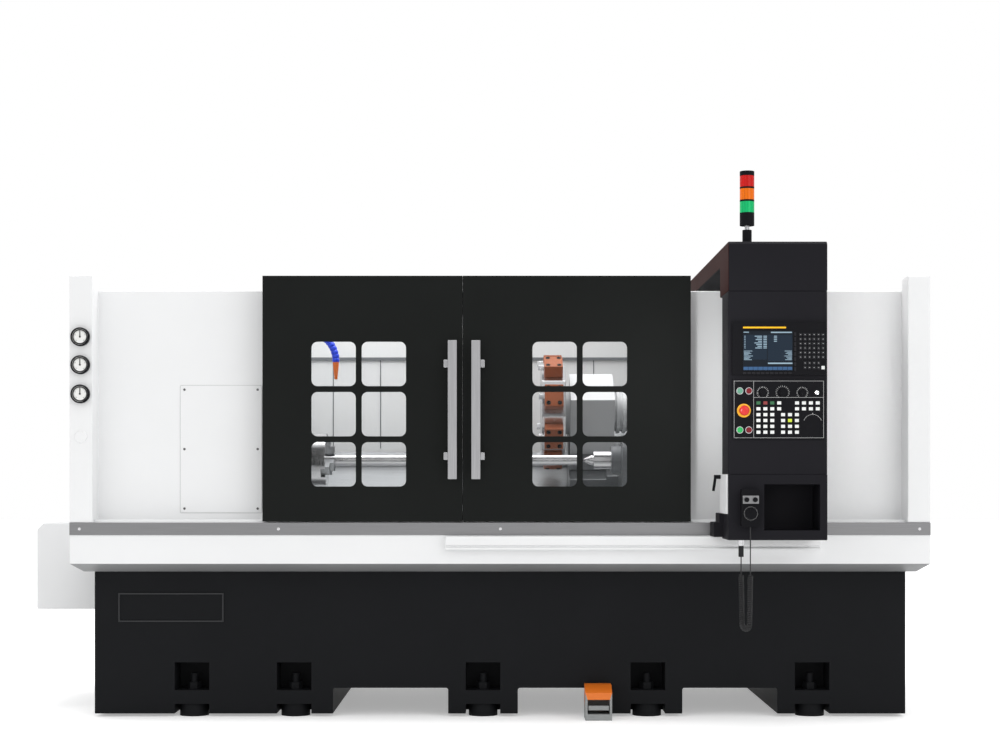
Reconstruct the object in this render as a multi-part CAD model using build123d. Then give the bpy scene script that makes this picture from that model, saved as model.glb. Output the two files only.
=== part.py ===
from build123d import *
import math
import os

# CNC turning lathe: slant bed, sliding doors, operator console on a rail. Millimetres.
# X runs right along the spindle, Y from the operator to the back, Z up.
# Pieces are laid out from the floor below the middle of the door front plane, and moved at the
# end so that the origin is at the bottom centre of the machine.

# Overall body
body_half_width = 1895.0
body_back = 1530.0
cut_overrun = 10.0
slide_gap = 0.3
run_gap = 0.05
sheet = 30.0

# Base and feet
base_inset = 79.0
base_half_width = body_half_width - base_inset
base_front = 150.0
base_bottom = 14.0
base_top = 653.0
pocket_width = 154.0
pocket_bottom = 119.0
pocket_top = 243.0
pocket_depth = 150.0
foot_slot_top = 57.0
foot_x_shares = (-0.76, -0.508, -0.042, 0.365, 0.77)
foot_inset = 75.0
pad_radius = 65.0
foot_screw_radius = 17.0
foot_nut_radius = 32.0
foot_nut_height = 30.0
foot_screw_above = 40.0
cutout_top = 129.0
cutout_corner = 6.0
cutout_shares = ((-0.412, -0.128), (0.044, 0.27), (0.45, 0.684))
end_bump_depth = 12.0
end_bump_bottom = 326.0
end_bump_top = 595.0

# Chip tray, trim strip and console rail
tray_top = 873.0
tray_face_bottom = 691.0
tray_bevel_run = 100.0
tray_end_bevel = 40.0
pan_floor = 40.0
trim_bottom = 818.0
trim_thickness = 4.0
rail_left = -240.0
rail_right = 1405.0
rail_bottom = 754.0
rail_top = 814.0
rail_depth = 40.0

# End covers
cover_top = 1905.0
column_width = 100.0
column_rise = 55.0
column_top = cover_top + column_rise
panel_setback = 125.0
work_left = -1046.0
work_right = 1300.0
doorway_right = 840.0
cap_radius = 26.0
cap_thickness = 5.0
cap_height = 1250.0
access_inset = 18.0
access_width = 363.0
access_right = work_left - access_inset
access_left = access_right - access_width
access_bottom = 915.0
access_top = 1482.0
access_thickness = 4.0
access_corner = 12.0
gauge_heights = (1690.0, 1567.0, 1439.0)
gauge_radius = 41.0
gauge_rim = 6.0
gauge_depth = 24.0
gauge_recess = 5.0
gauge_hub_radius = 4.0
gauge_needle_width = 3.0
gauge_needle_reach = 28.0
motor_reach = 265.0
motor_left = -body_half_width - motor_reach
motor_front = 500.0
motor_back = 1150.0
motor_bottom = 459.0
motor_top = 860.0
motor_corner = 30.0
rear_hatch_shares = (-0.62, -0.2, 0.22, 0.64)
rear_hatch_width = 340.0
rear_hatch_bottom = 1020.0
rear_hatch_top = 1760.0
rear_hatch_thickness = 8.0
louvre_count = 6
louvre_height = 14.0
louvre_pitch = 42.0

# Doors
door_split = -165.0
door_seam = 1.0
door_bottom = 878.0
door_top = column_top
door_depth = 45.0
door_skin = 4.0
window_size = 195.0
window_gap = 26.0
window_corner = 27.0
window_top = 1669.0
left_window_start = -830.0
right_window_start = 143.0
window_columns = 2
window_rows = 3
pane_margin = 25.0
pane_thickness = 8.0
handle_width = 40.0
handle_thickness = 10.0
handle_bottom = 1064.0
handle_top = 1672.0
handle_offset = 63.0
left_handle_x = -208.5
right_handle_x = -105.5
standoff_height = 32.0
standoff_reach = 18.0
standoff_inset = 101.0
lintel_depth = 85.0
lintel_height = 105.0
lintel_wall = 8.0
hanger_thickness = 8.0
hanger_reach = 60.0
hanger_inset = 250.0
guide_width = 12.0
guide_height = 12.0

# Spindle, chuck and work
axis_y = 650.0
axis_z = 1155.0
slant = 30.0
head_end_gap = 245.0
head_left = head_end_gap - body_half_width
head_front = 400.0
head_back = 1250.0
head_top = 1480.0
head_chamfer = 180.0
nose_radius = 128.0
nose_end = -960.0
spindle_radius = 90.0
spindle_flange_radius = 115.0
spindle_flange = 30.0
chuck_left = -893.0
chuck_right = -820.0
chuck_radius = 128.0
jaw_width = 44.0
jaw_length = 80.0
jaw_proud = 36.0
jaw_slot_depth = 20.0
jaw_count = 3
shaft_radius = 25.0
shaft_end = 384.0
centre_hole = 16.0
centre_gap = 2.0

# Slant bed and slides, across the slope (u) and square to it (n) from the spindle axis
bed_drop = 360.0
bed_low = -290.0
bed_high = 720.0
way_width = 50.0
way_height = 40.0
saddle_way_low = 250.0
saddle_way_high = 620.0
tail_way_low = -190.0
tail_way_high = 90.0
saddle_left = 340.0
saddle_right = 760.0
saddle_thickness = 100.0
saddle_overhang = 30.0
cross_thickness = 60.0
cross_key_width = 60.0
cross_key_height = 20.0
cross_margin = 60.0
turret_u = 484.0
turret_disc_left = 203.0
turret_disc_right = 320.0
turret_flat_radius = 220.0
turret_stations = 8
turret_shaft_radius = 60.0
turret_boss_radius = 110.0
turret_body_half = 140.0
turret_body_left = 345.0
turret_body_right = 560.0
motor_rib_count = 6
motor_rib_depth = 10.0
turret_motor_radius = 105.0
turret_motor_right = 740.0
block_length = 90.0
block_width = 110.0
block_base = 60.0
tool_width = 26.0
tool_overhang = 30.0

# Tailstock
tail_left = 573.0
tail_right = 800.0
tail_half = 120.0
tail_foot = 60.0
quill_radius = 44.0
quill_left = 443.0
quill_right = 700.0
quill_collar_radius = 67.0
quill_collar = 48.0
point_angle = 30.0
centre_body_radius = 24.0
centre_shank_radius = 16.0
centre_shank = 60.0

# Coolant hose
hose_radius = 16.0
hose_bend = 130.0
hose_y = 600.0
hose_drop = 150.0
hose_z = cover_top - hose_drop
hose_segments = 9
hose_nozzle = 90.0
hose_tip_radius = 7.0
hose_flange_radius = 40.0
hose_flange = 12.0
bead_taper_share = 0.72
bead_overlap = 6.0

# Console
console_left = 966.0
console_right = 1385.0
console_front = -330.0
console_back = -100.0
head_box_back = -20.0
arm_clearance = 30.0
arm_thickness = 81.0
head_box_drop = 130.0
arm_underside = column_top + arm_clearance
arm_top = arm_underside + arm_thickness
head_box_bottom = arm_underside - head_box_drop
arm_fillet = 12.0
rear_rail_depth = 20.0
rear_rail_height = 35.0
rear_rail_top = cover_top + rear_rail_height
carriage_cheek = 20.0
carriage_drop = 20.0
cabinet_edge = 6.0
shelf_top = 1085.0
shelf_bottom = 806.0
pocket_left = 1118.0
pocket_right = 1353.0
shelf_pocket_bottom = 848.0
shelf_pocket_top = 1042.0
shelf_pocket_depth = 190.0
clamp_reach = 42.0
clamp_neck = 18.0
clamp_top = 917.0
clamp_step = 878.0
clamp_back = -5.0
clamp_depth = 150.0
side_plate = 8.0
side_plate_front = -312.0
side_plate_back = -75.0
lever_z = 1074.0
lever_y = -110.0
stud_radius = 6.0
stud_depth = 6.0
lever_boss_radius = 9.0
lever_boss = 28.0
lever_radius = 6.0
lever_drop = 62.0
lever_spread = 9.0

# Screen unit and operator panel
screen_left = 981.0
screen_right = 1381.0
screen_bottom = 1505.0
screen_top = 1729.0
screen_unit_depth = 14.0
glass_left = 1026.0
glass_right = 1237.0
glass_bottom = 1522.0
glass_top = 1691.0
glass_recess = 4.0
key_proud = 3.0
pad_key_share = 0.7
soft_key_height = 11.0
soft_key_count = 11
side_key_left = 1242.0
side_key_width = 11.0
side_key_count = 8
keypad_columns = 6
keypad_rows = 6
keypad_left = 1262.0
keypad_bottom = 1573.0
keypad_pitch = 19.0
cursor_columns = 4
cursor_rows = 2
cursor_bottom = 1529.0
panel_left = 983.0
panel_right = 1373.0
panel_bottom = 1233.0
panel_top = 1485.0
panel_thickness = 8.0
button_radius = 12.0
button_height = 14.0
button_travel = 5.0
button_collar_radius = 15.0
button_collar = 3.0
button_left_x = 1013.0
button_right_x = 1051.0
top_button_z = 1437.0
low_button_z = 1272.0
stop_x = 1030.0
stop_z = 1354.0
stop_radius = 21.0
stop_stem_radius = 11.0
stop_head = 12.0
stop_travel = 6.0
stop_ring_radius = 29.0
stop_ring = 4.0
dial_xs = (1110.0, 1194.0, 1277.0)
dial_z = 1430.0
dial_radius = 13.0
dial_height = 18.0
dial_shaft_radius = 5.0
dial_shaft = 6.0
dial_pointer = 3.0
key_switch_x = 1338.0
key_switch_radius = 9.0
key_switch_height = 8.0
key_pitch = 29.2
key_rise = 24.7
mode_keys_left = 1083.0
mode_keys_bottom = 1256.0
mode_key_columns = 3
mode_key_rows = 6
axis_keys_left = 1187.0
axis_key_rows = 4
jog_keys_left = 1246.0
jog_key_columns = 4
jog_key_rows = 2
key_width_share = 0.58
key_height_share = 0.55

# Hand pendant and its cord
pendant_left = 1016.0
pendant_right = 1094.0
pendant_bottom = 862.0
pendant_top = 1023.0
pendant_depth = 44.0
pendant_corner = 10.0
pendant_plate_share = 0.72
pendant_plate_height = 34.0
pendant_plate = 3.0
pendant_knob_radius = 10.0
pendant_knob = 12.0
pendant_knob_shares = (0.27, 0.73)
wheel_radius = 25.0
wheel_thickness = 10.0
wheel_shaft_radius = 8.0
wheel_shaft = 4.0
wheel_z_share = 0.36
wheel_grip_radius = 5.0
wheel_grip = 10.0
lead_radius = 2.5
curl_radius = 12.5
curl_top = 663.0
curl_bottom = 422.0
plug_x = 1022.0
plug_y = -310.0
plug_nut_radius = 15.0
plug_nut = 24.0
plug_radius = 11.0
plug_bottom = 735.0

# Tower lamp
tower_x = 1053.0
tower_y = -265.0
tower_radius = 31.0
tower_foot_radius = 20.0
tower_foot = 55.0
tower_pole_radius = 10.0
tower_pole = 18.0
tower_base = 55.0
lens_height = 47.0
lens_gap = 8.0
lens_count = 3
tower_cap = 20.0

# Foot switch
switch_left = 376.0
switch_right = 494.0
switch_front = 5.0
switch_back = 135.0
switch_base = 28.0
switch_wall = 10.0
hood_top = 152.0
hood_bottom = 92.0
treadle_rise = 24.0
treadle_thickness = 12.0
treadle_lip = 20.0
treadle_pin_radius = 7.0
treadle_gap = 4.0

# Derived places
lintel_back = panel_setback + lintel_depth
lintel_bottom = cover_top - lintel_height
pendant_front = console_front - pendant_depth
machine_front = pendant_front - wheel_shaft - wheel_thickness - wheel_grip
origin = Vector((motor_left + body_half_width) / 2, (machine_front + body_back) / 2, 0)
parts = {}


def block(x, y, z):
    """Box between the start and end given for each axis."""
    size = [end - start for start, end in (x, y, z)]
    middle = [(start + end) / 2 for start, end in (x, y, z)]
    return Pos(*middle) * Box(*size)


def rod(start, direction, radius, length):
    """Round bar from a start point along a direction."""
    return extrude(Plane(origin=start, z_dir=direction) * Circle(radius), length)


def x_profile(points, x_start, x_end):
    """Solid of a Y, Z outline drawn out along X."""
    plane = Plane(origin=(x_start, 0, 0), x_dir=(0, 1, 0), z_dir=(1, 0, 0))
    return extrude(plane * Polygon(*points, align=None), x_end - x_start, dir=(1, 0, 0))


def z_profile(points, z_start, z_end):
    """Solid of an X, Y outline drawn out along Z."""
    sketch = Plane.XY.offset(z_start) * Polygon(*points, align=None)
    return extrude(sketch, z_end - z_start, dir=(0, 0, 1))


def face_plate(x, z, y_back, thickness, corner):
    """Plate with round corners that stands forward of y_back."""
    plane = Plane(origin=(0, y_back, 0), x_dir=(1, 0, 0), z_dir=(0, -1, 0))
    middle = Pos((x[0] + x[1]) / 2, (z[0] + z[1]) / 2)
    return extrude(plane * middle * RectangleRounded(x[1] - x[0], z[1] - z[0], corner), thickness)


def on_slope(u, n):
    """Y, Z of a point u up the slope and n square to it, from the spindle axis."""
    angle = math.radians(slant)
    y = axis_y + u * math.cos(angle) - n * math.sin(angle)
    z = axis_z + u * math.sin(angle) + n * math.cos(angle)
    return y, z


def slope_block(x, u, n):
    """Bar along X with a section square to the slope."""
    corners = [on_slope(u[0], n[0]), on_slope(u[1], n[0]), on_slope(u[1], n[1]), on_slope(u[0], n[1])]
    return x_profile(corners, x[0], x[1])


def fuse(pieces):
    """Join pieces into one solid."""
    whole = pieces[0]
    for piece in pieces[1:]:
        whole = whole + piece
    return whole


def foot_places():
    """X, Y of every levelling foot, in a front and a back row."""
    rows = (base_front + foot_inset, body_back - foot_inset)
    return [(share * base_half_width, y) for y in rows for share in foot_x_shares]


def make_base():
    """Base casting with foot pockets, pad slots and three ways through below."""
    base = block((-base_half_width, base_half_width), (base_front, body_back), (base_bottom, base_top))
    for x, y in foot_places():
        x_span = (x - pocket_width / 2, x + pocket_width / 2)
        if y < axis_y:
            y_span = (base_front - cut_overrun, base_front + pocket_depth)
        else:
            y_span = (body_back - pocket_depth, body_back + cut_overrun)
        base -= block(x_span, y_span, (pocket_bottom, pocket_top))
        base -= block(x_span, y_span, (base_bottom - cut_overrun, foot_slot_top))
        hole_length = pocket_bottom - foot_slot_top + 2 * cut_overrun
        base -= rod((x, y, foot_slot_top - cut_overrun), (0, 0, 1), foot_screw_radius + run_gap, hole_length)
    for start_share, end_share in cutout_shares:
        start = start_share * base_half_width
        end = end_share * base_half_width
        low = base_bottom - cut_overrun
        outline = Polygon((start, low), (end, low), (end, cutout_top - cutout_corner),
                          (end - cutout_corner, cutout_top), (start + cutout_corner, cutout_top),
                          (start, cutout_top - cutout_corner), align=None)
        plane = Plane(origin=(0, base_front - cut_overrun, 0), x_dir=(1, 0, 0), z_dir=(0, -1, 0))
        base -= extrude(plane * outline, body_back - base_front + 2 * cut_overrun, dir=(0, 1, 0))
    bump_y = (base_front + pocket_depth, body_back - pocket_depth)
    bump = block((base_half_width, base_half_width + end_bump_depth), bump_y, (end_bump_bottom, end_bump_top))
    return base + bump


def make_feet():
    """Levelling feet: pad, screw and hexagon nut, one solid each."""
    feet = []
    for x, y in foot_places():
        pad = rod((x, y, 0), (0, 0, 1), pad_radius, foot_slot_top)
        reach = pocket_bottom + foot_nut_height + foot_screw_above - foot_slot_top
        screw = rod((x, y, foot_slot_top), (0, 0, 1), foot_screw_radius, reach)
        nut_sketch = Plane(origin=(x, y, pocket_bottom)) * RegularPolygon(foot_nut_radius, 6)
        feet.append(pad + screw + extrude(nut_sketch, foot_nut_height))
    return feet


def make_tray():
    """Chip tray with a bevelled lower front, bevelled ends and an open pan below the work area."""
    bevel_back = tray_bevel_run
    outline = ((0, tray_face_bottom), (bevel_back, base_top), (body_back, base_top),
               (body_back, tray_top), (0, tray_top))
    tray = x_profile(outline, -body_half_width, body_half_width)
    for side in (-1, 1):
        end = side * body_half_width
        corner = Polygon((end, tray_face_bottom), (end, base_top), (end - side * tray_end_bevel, base_top),
                         align=None)
        plane = Plane(origin=(0, -cut_overrun, 0), x_dir=(1, 0, 0), z_dir=(0, -1, 0))
        tray -= extrude(plane * corner, body_back + 2 * cut_overrun, dir=(0, 1, 0))
    pan_y = (panel_setback + sheet, body_back - sheet)
    tray -= block((work_left, work_right), pan_y, (base_top + pan_floor, tray_top + cut_overrun))
    return tray


def make_trim():
    """Stainless strip along the top of the tray front."""
    return block((-body_half_width, body_half_width), (-trim_thickness, 0), (trim_bottom, tray_top))


def make_console_rail():
    """Rail on the tray front that the console runs on, with a hooked lower edge."""
    lip = rail_depth / 4
    outline = ((0, rail_bottom), (-rail_depth, rail_bottom), (-rail_depth, rail_top), (0, rail_top))
    rail = x_profile(outline, rail_left, rail_right)
    groove = ((-rail_depth - cut_overrun, rail_bottom + lip), (-rail_depth + lip, rail_bottom + lip),
              (-rail_depth + lip, rail_bottom + 2 * lip), (-rail_depth - cut_overrun, rail_bottom + 2 * lip))
    return rail - x_profile(groove, rail_left - cut_overrun, rail_right + cut_overrun)


def make_left_cover():
    """Left housing with a front column, a set-back panel and the wall beside the work area."""
    left = -body_half_width
    outline = ((left, 0), (left + column_width, 0), (left + column_width, panel_setback),
               (work_left, panel_setback), (work_left, body_back), (left, body_back))
    cover = z_profile(outline, tray_top, cover_top)
    cover += block((left, left + column_width), (0, panel_setback), (tray_top, column_top))
    inside_y = (panel_setback + sheet, body_back - sheet)
    cover -= block((left + sheet, work_left - sheet), inside_y, (tray_top - cut_overrun, cover_top - sheet))
    hole_start = (work_left - sheet - cut_overrun, axis_y, axis_z)
    cover -= rod(hole_start, (1, 0, 0), nose_radius + slide_gap, sheet + 2 * cut_overrun)
    cap_x = left + column_width / 2
    return cover + rod((cap_x, 0, cap_height), (0, -1, 0), cap_radius, cap_thickness)


def make_right_cover():
    """Right housing with a front column, a set-back panel and a closed end."""
    right = body_half_width
    outline = ((right, 0), (right - column_width, 0), (right - column_width, panel_setback),
               (doorway_right, panel_setback), (doorway_right, panel_setback + sheet),
               (work_right, panel_setback + sheet), (work_right, body_back), (right, body_back))
    cover = z_profile(outline, tray_top, cover_top)
    cover += block((right - column_width, right), (0, panel_setback), (tray_top, column_top))
    inside_y = (panel_setback + sheet, body_back - sheet)
    inside_x = (work_right + sheet, right - sheet)
    return cover - block(inside_x, inside_y, (tray_top - cut_overrun, cover_top - sheet))


def make_rear_cover():
    """Back panel with louvred hatches, and the rail on top that carries the console arm."""
    cover = block((work_left, work_right), (body_back - sheet, body_back), (tray_top, cover_top))
    rail_y = (body_back - sheet, body_back - sheet + rear_rail_depth)
    cover += block((rail_left, rail_right), rail_y, (cover_top, rear_rail_top))
    middle = (work_left + work_right) / 2
    half = (work_right - work_left) / 2
    for share in rear_hatch_shares:
        x = middle + share * half
        x_span = (x - rear_hatch_width / 2, x + rear_hatch_width / 2)
        groove_y = (body_back - rear_hatch_thickness, body_back + cut_overrun)
        frame = block(x_span, groove_y, (rear_hatch_bottom, rear_hatch_top))
        inner_x = (x_span[0] + rear_hatch_thickness, x_span[1] - rear_hatch_thickness)
        inner_z = (rear_hatch_bottom + rear_hatch_thickness, rear_hatch_top - rear_hatch_thickness)
        cover -= frame - block(inner_x, groove_y, inner_z)
        for row in range(louvre_count):
            z = rear_hatch_bottom + (row + 1) * louvre_pitch
            slot_x = (x_span[0] + louvre_pitch, x_span[1] - louvre_pitch)
            cover -= block(slot_x, groove_y, (z, z + louvre_height))
    return cover


def make_door_track():
    """Lintel over the doorway, flush with the covers that the doors hang on, and the guide below the doors."""
    half = body_half_width - column_width
    lintel = block((work_left, doorway_right), (panel_setback, lintel_back), (lintel_bottom, cover_top))
    hollow_y = (panel_setback + lintel_wall, lintel_back - lintel_wall)
    hollow_z = (lintel_bottom - cut_overrun, cover_top - lintel_wall)
    lintel -= block((work_left + lintel_wall, doorway_right - lintel_wall), hollow_y, hollow_z)
    guide_y = (door_depth + slide_gap, door_depth + slide_gap + guide_width)
    guide = block((-half, half), guide_y, (tray_top, tray_top + guide_height))
    return [lintel, guide]


def make_access_panel():
    """Flat cover plate on the left panel."""
    return face_plate((access_left, access_right), (access_bottom, access_top), panel_setback,
                      access_thickness, access_corner)


def make_gauges():
    """Three round pressure gauges on the left column, each with a recessed face and a needle."""
    x = -body_half_width + column_width / 2
    gauges = []
    for z in gauge_heights:
        gauge = rod((x, 0, z), (0, -1, 0), gauge_radius, gauge_depth)
        floor = gauge_recess - gauge_depth
        gauge -= rod((x, floor, z), (0, -1, 0), gauge_radius - gauge_rim, gauge_recess + cut_overrun)
        gauge += rod((x, floor, z), (0, -1, 0), gauge_hub_radius, gauge_recess / 2)
        needle_x = (x - gauge_needle_width / 2, x + gauge_needle_width / 2)
        needle = block(needle_x, (floor - gauge_recess / 2, floor), (z, z + gauge_needle_reach))
        gauges.append(gauge + needle)
    return gauges


def make_motor_cover():
    """Closed cover of the main motor and belt, against the left end of the base and tray."""
    outline = ((motor_left, motor_bottom), (-base_half_width, motor_bottom), (-base_half_width, base_top),
               (-body_half_width + tray_end_bevel, base_top), (-body_half_width, tray_face_bottom),
               (-body_half_width, motor_top), (motor_left + motor_corner, motor_top),
               (motor_left, motor_top - motor_corner))
    plane = Plane(origin=(0, motor_front, 0), x_dir=(1, 0, 0), z_dir=(0, -1, 0))
    return extrude(plane * Polygon(*outline, align=None), motor_back - motor_front, dir=(0, 1, 0))


def window_span(start, column):
    """X ends of one window column."""
    left = start + column * (window_size + window_gap)
    return left, left + window_size


def window_rise(row):
    """Z ends of one window row, counted from the top."""
    top = window_top - row * (window_size + window_gap)
    return top - window_size, top


def make_door(x, window_start):
    """Door pan: skin, folded edges, window cut-outs and the hanger that rides on the cover tops."""
    door = block(x, (0, door_depth), (door_bottom, door_top))
    inner_x = (x[0] + door_skin, x[1] - door_skin)
    inner_z = (door_bottom + door_skin, door_top - door_skin)
    door -= block(inner_x, (door_skin, door_depth + cut_overrun), inner_z)
    for column in range(window_columns):
        for row in range(window_rows):
            span = window_span(window_start, column)
            door -= face_plate(span, window_rise(row), door_skin + cut_overrun,
                               door_skin + 2 * cut_overrun, window_corner)
    hanger_x = (x[0] + hanger_inset, x[1] - hanger_inset)
    hanger_z = (cover_top + slide_gap, cover_top + slide_gap + hanger_thickness)
    return door + block(hanger_x, (door_skin, panel_setback + hanger_reach), hanger_z)


def make_windows(window_start):
    """Clear pane behind all the cut-outs of one door."""
    first = window_span(window_start, 0)[0] - pane_margin
    last = window_span(window_start, window_columns - 1)[1] + pane_margin
    low = window_rise(window_rows - 1)[0] - pane_margin
    high = window_top + pane_margin
    return face_plate((first, last), (low, high), door_skin + pane_thickness, pane_thickness, window_corner)


def make_handle(x, outward):
    """Flat pull bar on two stand-offs that show past its outer edge."""
    bar_x = (x - handle_width / 2, x + handle_width / 2)
    handle = block(bar_x, (-handle_offset, handle_thickness - handle_offset), (handle_bottom, handle_top))
    outer = x + outward * (handle_width / 2 + standoff_reach)
    post_x = (min(x, outer), max(x, outer))
    for z in (handle_bottom + standoff_inset, handle_top - standoff_inset):
        post_z = (z - standoff_height / 2, z + standoff_height / 2)
        handle += block(post_x, (handle_thickness - handle_offset, 0), post_z)
    return handle


def make_headstock():
    """Headstock casting with a sloped top, a round nose through the wall and the spindle bore."""
    outline = ((head_front, tray_top), (head_back, tray_top), (head_back, head_top - head_chamfer),
               (head_back - 2 * head_chamfer, head_top), (head_front, head_top))
    head = x_profile(outline, head_left, work_left - sheet)
    head += rod((work_left - sheet, axis_y, axis_z), (1, 0, 0), nose_radius, nose_end - work_left + sheet)
    bore_length = nose_end - head_left + 2 * cut_overrun
    return head - rod((head_left - cut_overrun, axis_y, axis_z), (1, 0, 0), spindle_radius + run_gap, bore_length)


def make_spindle():
    """Spindle bar with the flange that carries the chuck."""
    flange_left = chuck_left - spindle_flange
    spindle = rod((head_left, axis_y, axis_z), (1, 0, 0), spindle_radius, flange_left - head_left)
    return spindle + rod((flange_left, axis_y, axis_z), (1, 0, 0), spindle_flange_radius, spindle_flange)


def around_axis(shape, degrees):
    """Turn a shape about the spindle axis."""
    return shape.rotate(Axis((0, axis_y, axis_z), (1, 0, 0)), degrees)


jaw_angles = [number * 360 / jaw_count for number in range(jaw_count)]


def make_chuck():
    """Chuck body with a through hole and a radial slot for each jaw."""
    chuck = rod((chuck_left, axis_y, axis_z), (1, 0, 0), chuck_radius, chuck_right - chuck_left)
    hole_length = chuck_right - chuck_left + 2 * cut_overrun
    hole_start = (chuck_left - cut_overrun, axis_y, axis_z)
    chuck -= rod(hole_start, (1, 0, 0), shaft_radius + slide_gap, hole_length)
    half = jaw_width / 2 + slide_gap
    slot = block((chuck_right - jaw_slot_depth - slide_gap, chuck_right + cut_overrun),
                 (axis_y - half, axis_y + half), (axis_z, axis_z + chuck_radius + cut_overrun))
    for degrees in jaw_angles:
        chuck -= around_axis(slot, degrees)
    return chuck


def make_jaw(degrees):
    """Stepped jaw that sits in its slot and closes on the work."""
    low = axis_z + shaft_radius + slide_gap
    y_span = (axis_y - jaw_width / 2, axis_y + jaw_width / 2)
    jaw = block((chuck_right - jaw_slot_depth, chuck_right + jaw_proud), y_span, (low, low + jaw_length))
    step_x = (chuck_right + jaw_proud / 2, chuck_right + jaw_proud + cut_overrun)
    jaw -= block(step_x, (y_span[0] - cut_overrun, y_span[1] + cut_overrun),
                 (low + jaw_length / 2, low + jaw_length + cut_overrun))
    bevel = Polygon((y_span[0] - cut_overrun, low - cut_overrun), (axis_y - jaw_width / 4, low - cut_overrun),
                    (y_span[0] - cut_overrun, low + jaw_width / 2), align=None)
    plane = Plane(origin=(chuck_right + slide_gap, 0, 0), x_dir=(0, 1, 0), z_dir=(1, 0, 0))
    cut = extrude(plane * bevel, jaw_proud + cut_overrun, dir=(1, 0, 0))
    jaw -= cut
    jaw -= cut.mirror(Plane(origin=(0, axis_y, 0), z_dir=(0, 1, 0)))
    return around_axis(jaw, degrees)


def point_cone(apex_x, length):
    """Cone about the spindle axis that opens to the right from its apex."""
    base_radius = length * math.tan(math.radians(point_angle))
    plane = Plane(origin=(apex_x, axis_y, axis_z), x_dir=(1, 0, 0), z_dir=(0, -1, 0))
    outline = plane * Polygon((0, 0), (length, 0), (length, base_radius), align=None)
    return revolve(outline, Axis((0, axis_y, axis_z), (1, 0, 0)))


def make_work_shaft():
    """Turned bar held in the chuck, with a centre hole in its free end."""
    shaft = rod((chuck_left, axis_y, axis_z), (1, 0, 0), shaft_radius, shaft_end - chuck_left)
    return shaft - point_cone(shaft_end - centre_hole, centre_hole + cut_overrun)


def make_live_centre():
    """Live centre, just clear of the work: 60 degree point, body and a shank that turns in the quill."""
    apex = shaft_end + centre_gap
    length = centre_body_radius / math.tan(math.radians(point_angle))
    body_end = quill_left - slide_gap
    centre = point_cone(apex, length)
    centre += rod((apex + length, axis_y, axis_z), (1, 0, 0), centre_body_radius, body_end - apex - length)
    return centre + rod((body_end, axis_y, axis_z), (1, 0, 0), centre_shank_radius, centre_shank)


def make_quill():
    """Tailstock quill with a bore for the centre."""
    quill = rod((quill_left, axis_y, axis_z), (1, 0, 0), quill_radius, quill_right - quill_left)
    bore_start = (quill_left - cut_overrun, axis_y, axis_z)
    bore_length = centre_shank + 2 * cut_overrun
    return quill - rod(bore_start, (1, 0, 0), centre_shank_radius + run_gap, bore_length)


def make_tailstock():
    """Tailstock with a round top, a foot on its own ways and a collar round the quill."""
    way_top = way_height - bed_drop
    body = slope_block((tail_left, tail_right), (-tail_half, tail_half), (way_top + tail_foot, 0))
    body += rod((tail_left, axis_y, axis_z), (1, 0, 0), tail_half, tail_right - tail_left)
    foot_u = (tail_way_low - way_width, tail_way_high + way_width / 2 + saddle_overhang / 2)
    body += slope_block((tail_left, tail_right), foot_u, (way_top + slide_gap, way_top + tail_foot))
    collar_start = (tail_left - quill_collar, axis_y, axis_z)
    body += rod(collar_start, (1, 0, 0), quill_collar_radius, quill_collar)
    bore_start = (tail_left - quill_collar - cut_overrun, axis_y, axis_z)
    bore_length = tail_right - tail_left + quill_collar + 2 * cut_overrun
    return body - rod(bore_start, (1, 0, 0), quill_radius + run_gap, bore_length)


def make_bed():
    """Wedge-shaped bed with two pairs of ways along its slope."""
    floor = base_top + pan_floor
    low_y, low_z = on_slope(bed_low, -bed_drop)
    high_y, high_z = on_slope(bed_high, -bed_drop)
    outline = ((low_y, floor), (high_y, floor), (high_y, high_z), (low_y, low_z))
    bed = x_profile(outline, work_left, work_right)
    for u in (tail_way_low, tail_way_high, saddle_way_low, saddle_way_high):
        way_u = (u - way_width / 2, u + way_width / 2)
        bed += slope_block((work_left, work_right), way_u, (-bed_drop, way_height - bed_drop))
    return bed


saddle_top = way_height - bed_drop + saddle_thickness
saddle_u = (saddle_way_low - way_width / 2 - saddle_overhang, saddle_way_high + way_width / 2 + saddle_overhang)
saddle_middle = (saddle_left + saddle_right) / 2


def make_saddle():
    """Saddle plate on the two upper ways, with a key up the slope for the cross slide."""
    base_n = way_height - bed_drop + slide_gap
    saddle = slope_block((saddle_left, saddle_right), saddle_u, (base_n, saddle_top))
    key_x = (saddle_middle - cross_key_width / 2, saddle_middle + cross_key_width / 2)
    return saddle + slope_block(key_x, saddle_u, (saddle_top, saddle_top + cross_key_height))


cross_u = (turret_u - turret_body_half - cross_margin, turret_u + turret_body_half + cross_margin)
cross_top = saddle_top + cross_thickness


def make_cross_slide():
    """Cross slide with a groove over the saddle's key."""
    slide = slope_block((saddle_left, saddle_right), cross_u, (saddle_top + slide_gap, cross_top))
    half = cross_key_width / 2 + slide_gap
    groove_u = (cross_u[0] - cut_overrun, cross_u[1] + cut_overrun)
    groove_n = (saddle_top - cut_overrun, saddle_top + cross_key_height + slide_gap)
    return slide - slope_block((saddle_middle - half, saddle_middle + half), groove_u, groove_n)


turret_y, turret_z = on_slope(turret_u, 0)


def turret_rod(start, end, radius):
    """Round bar about the turret axis."""
    return rod((start, turret_y, turret_z), (1, 0, 0), radius, end - start)


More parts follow.
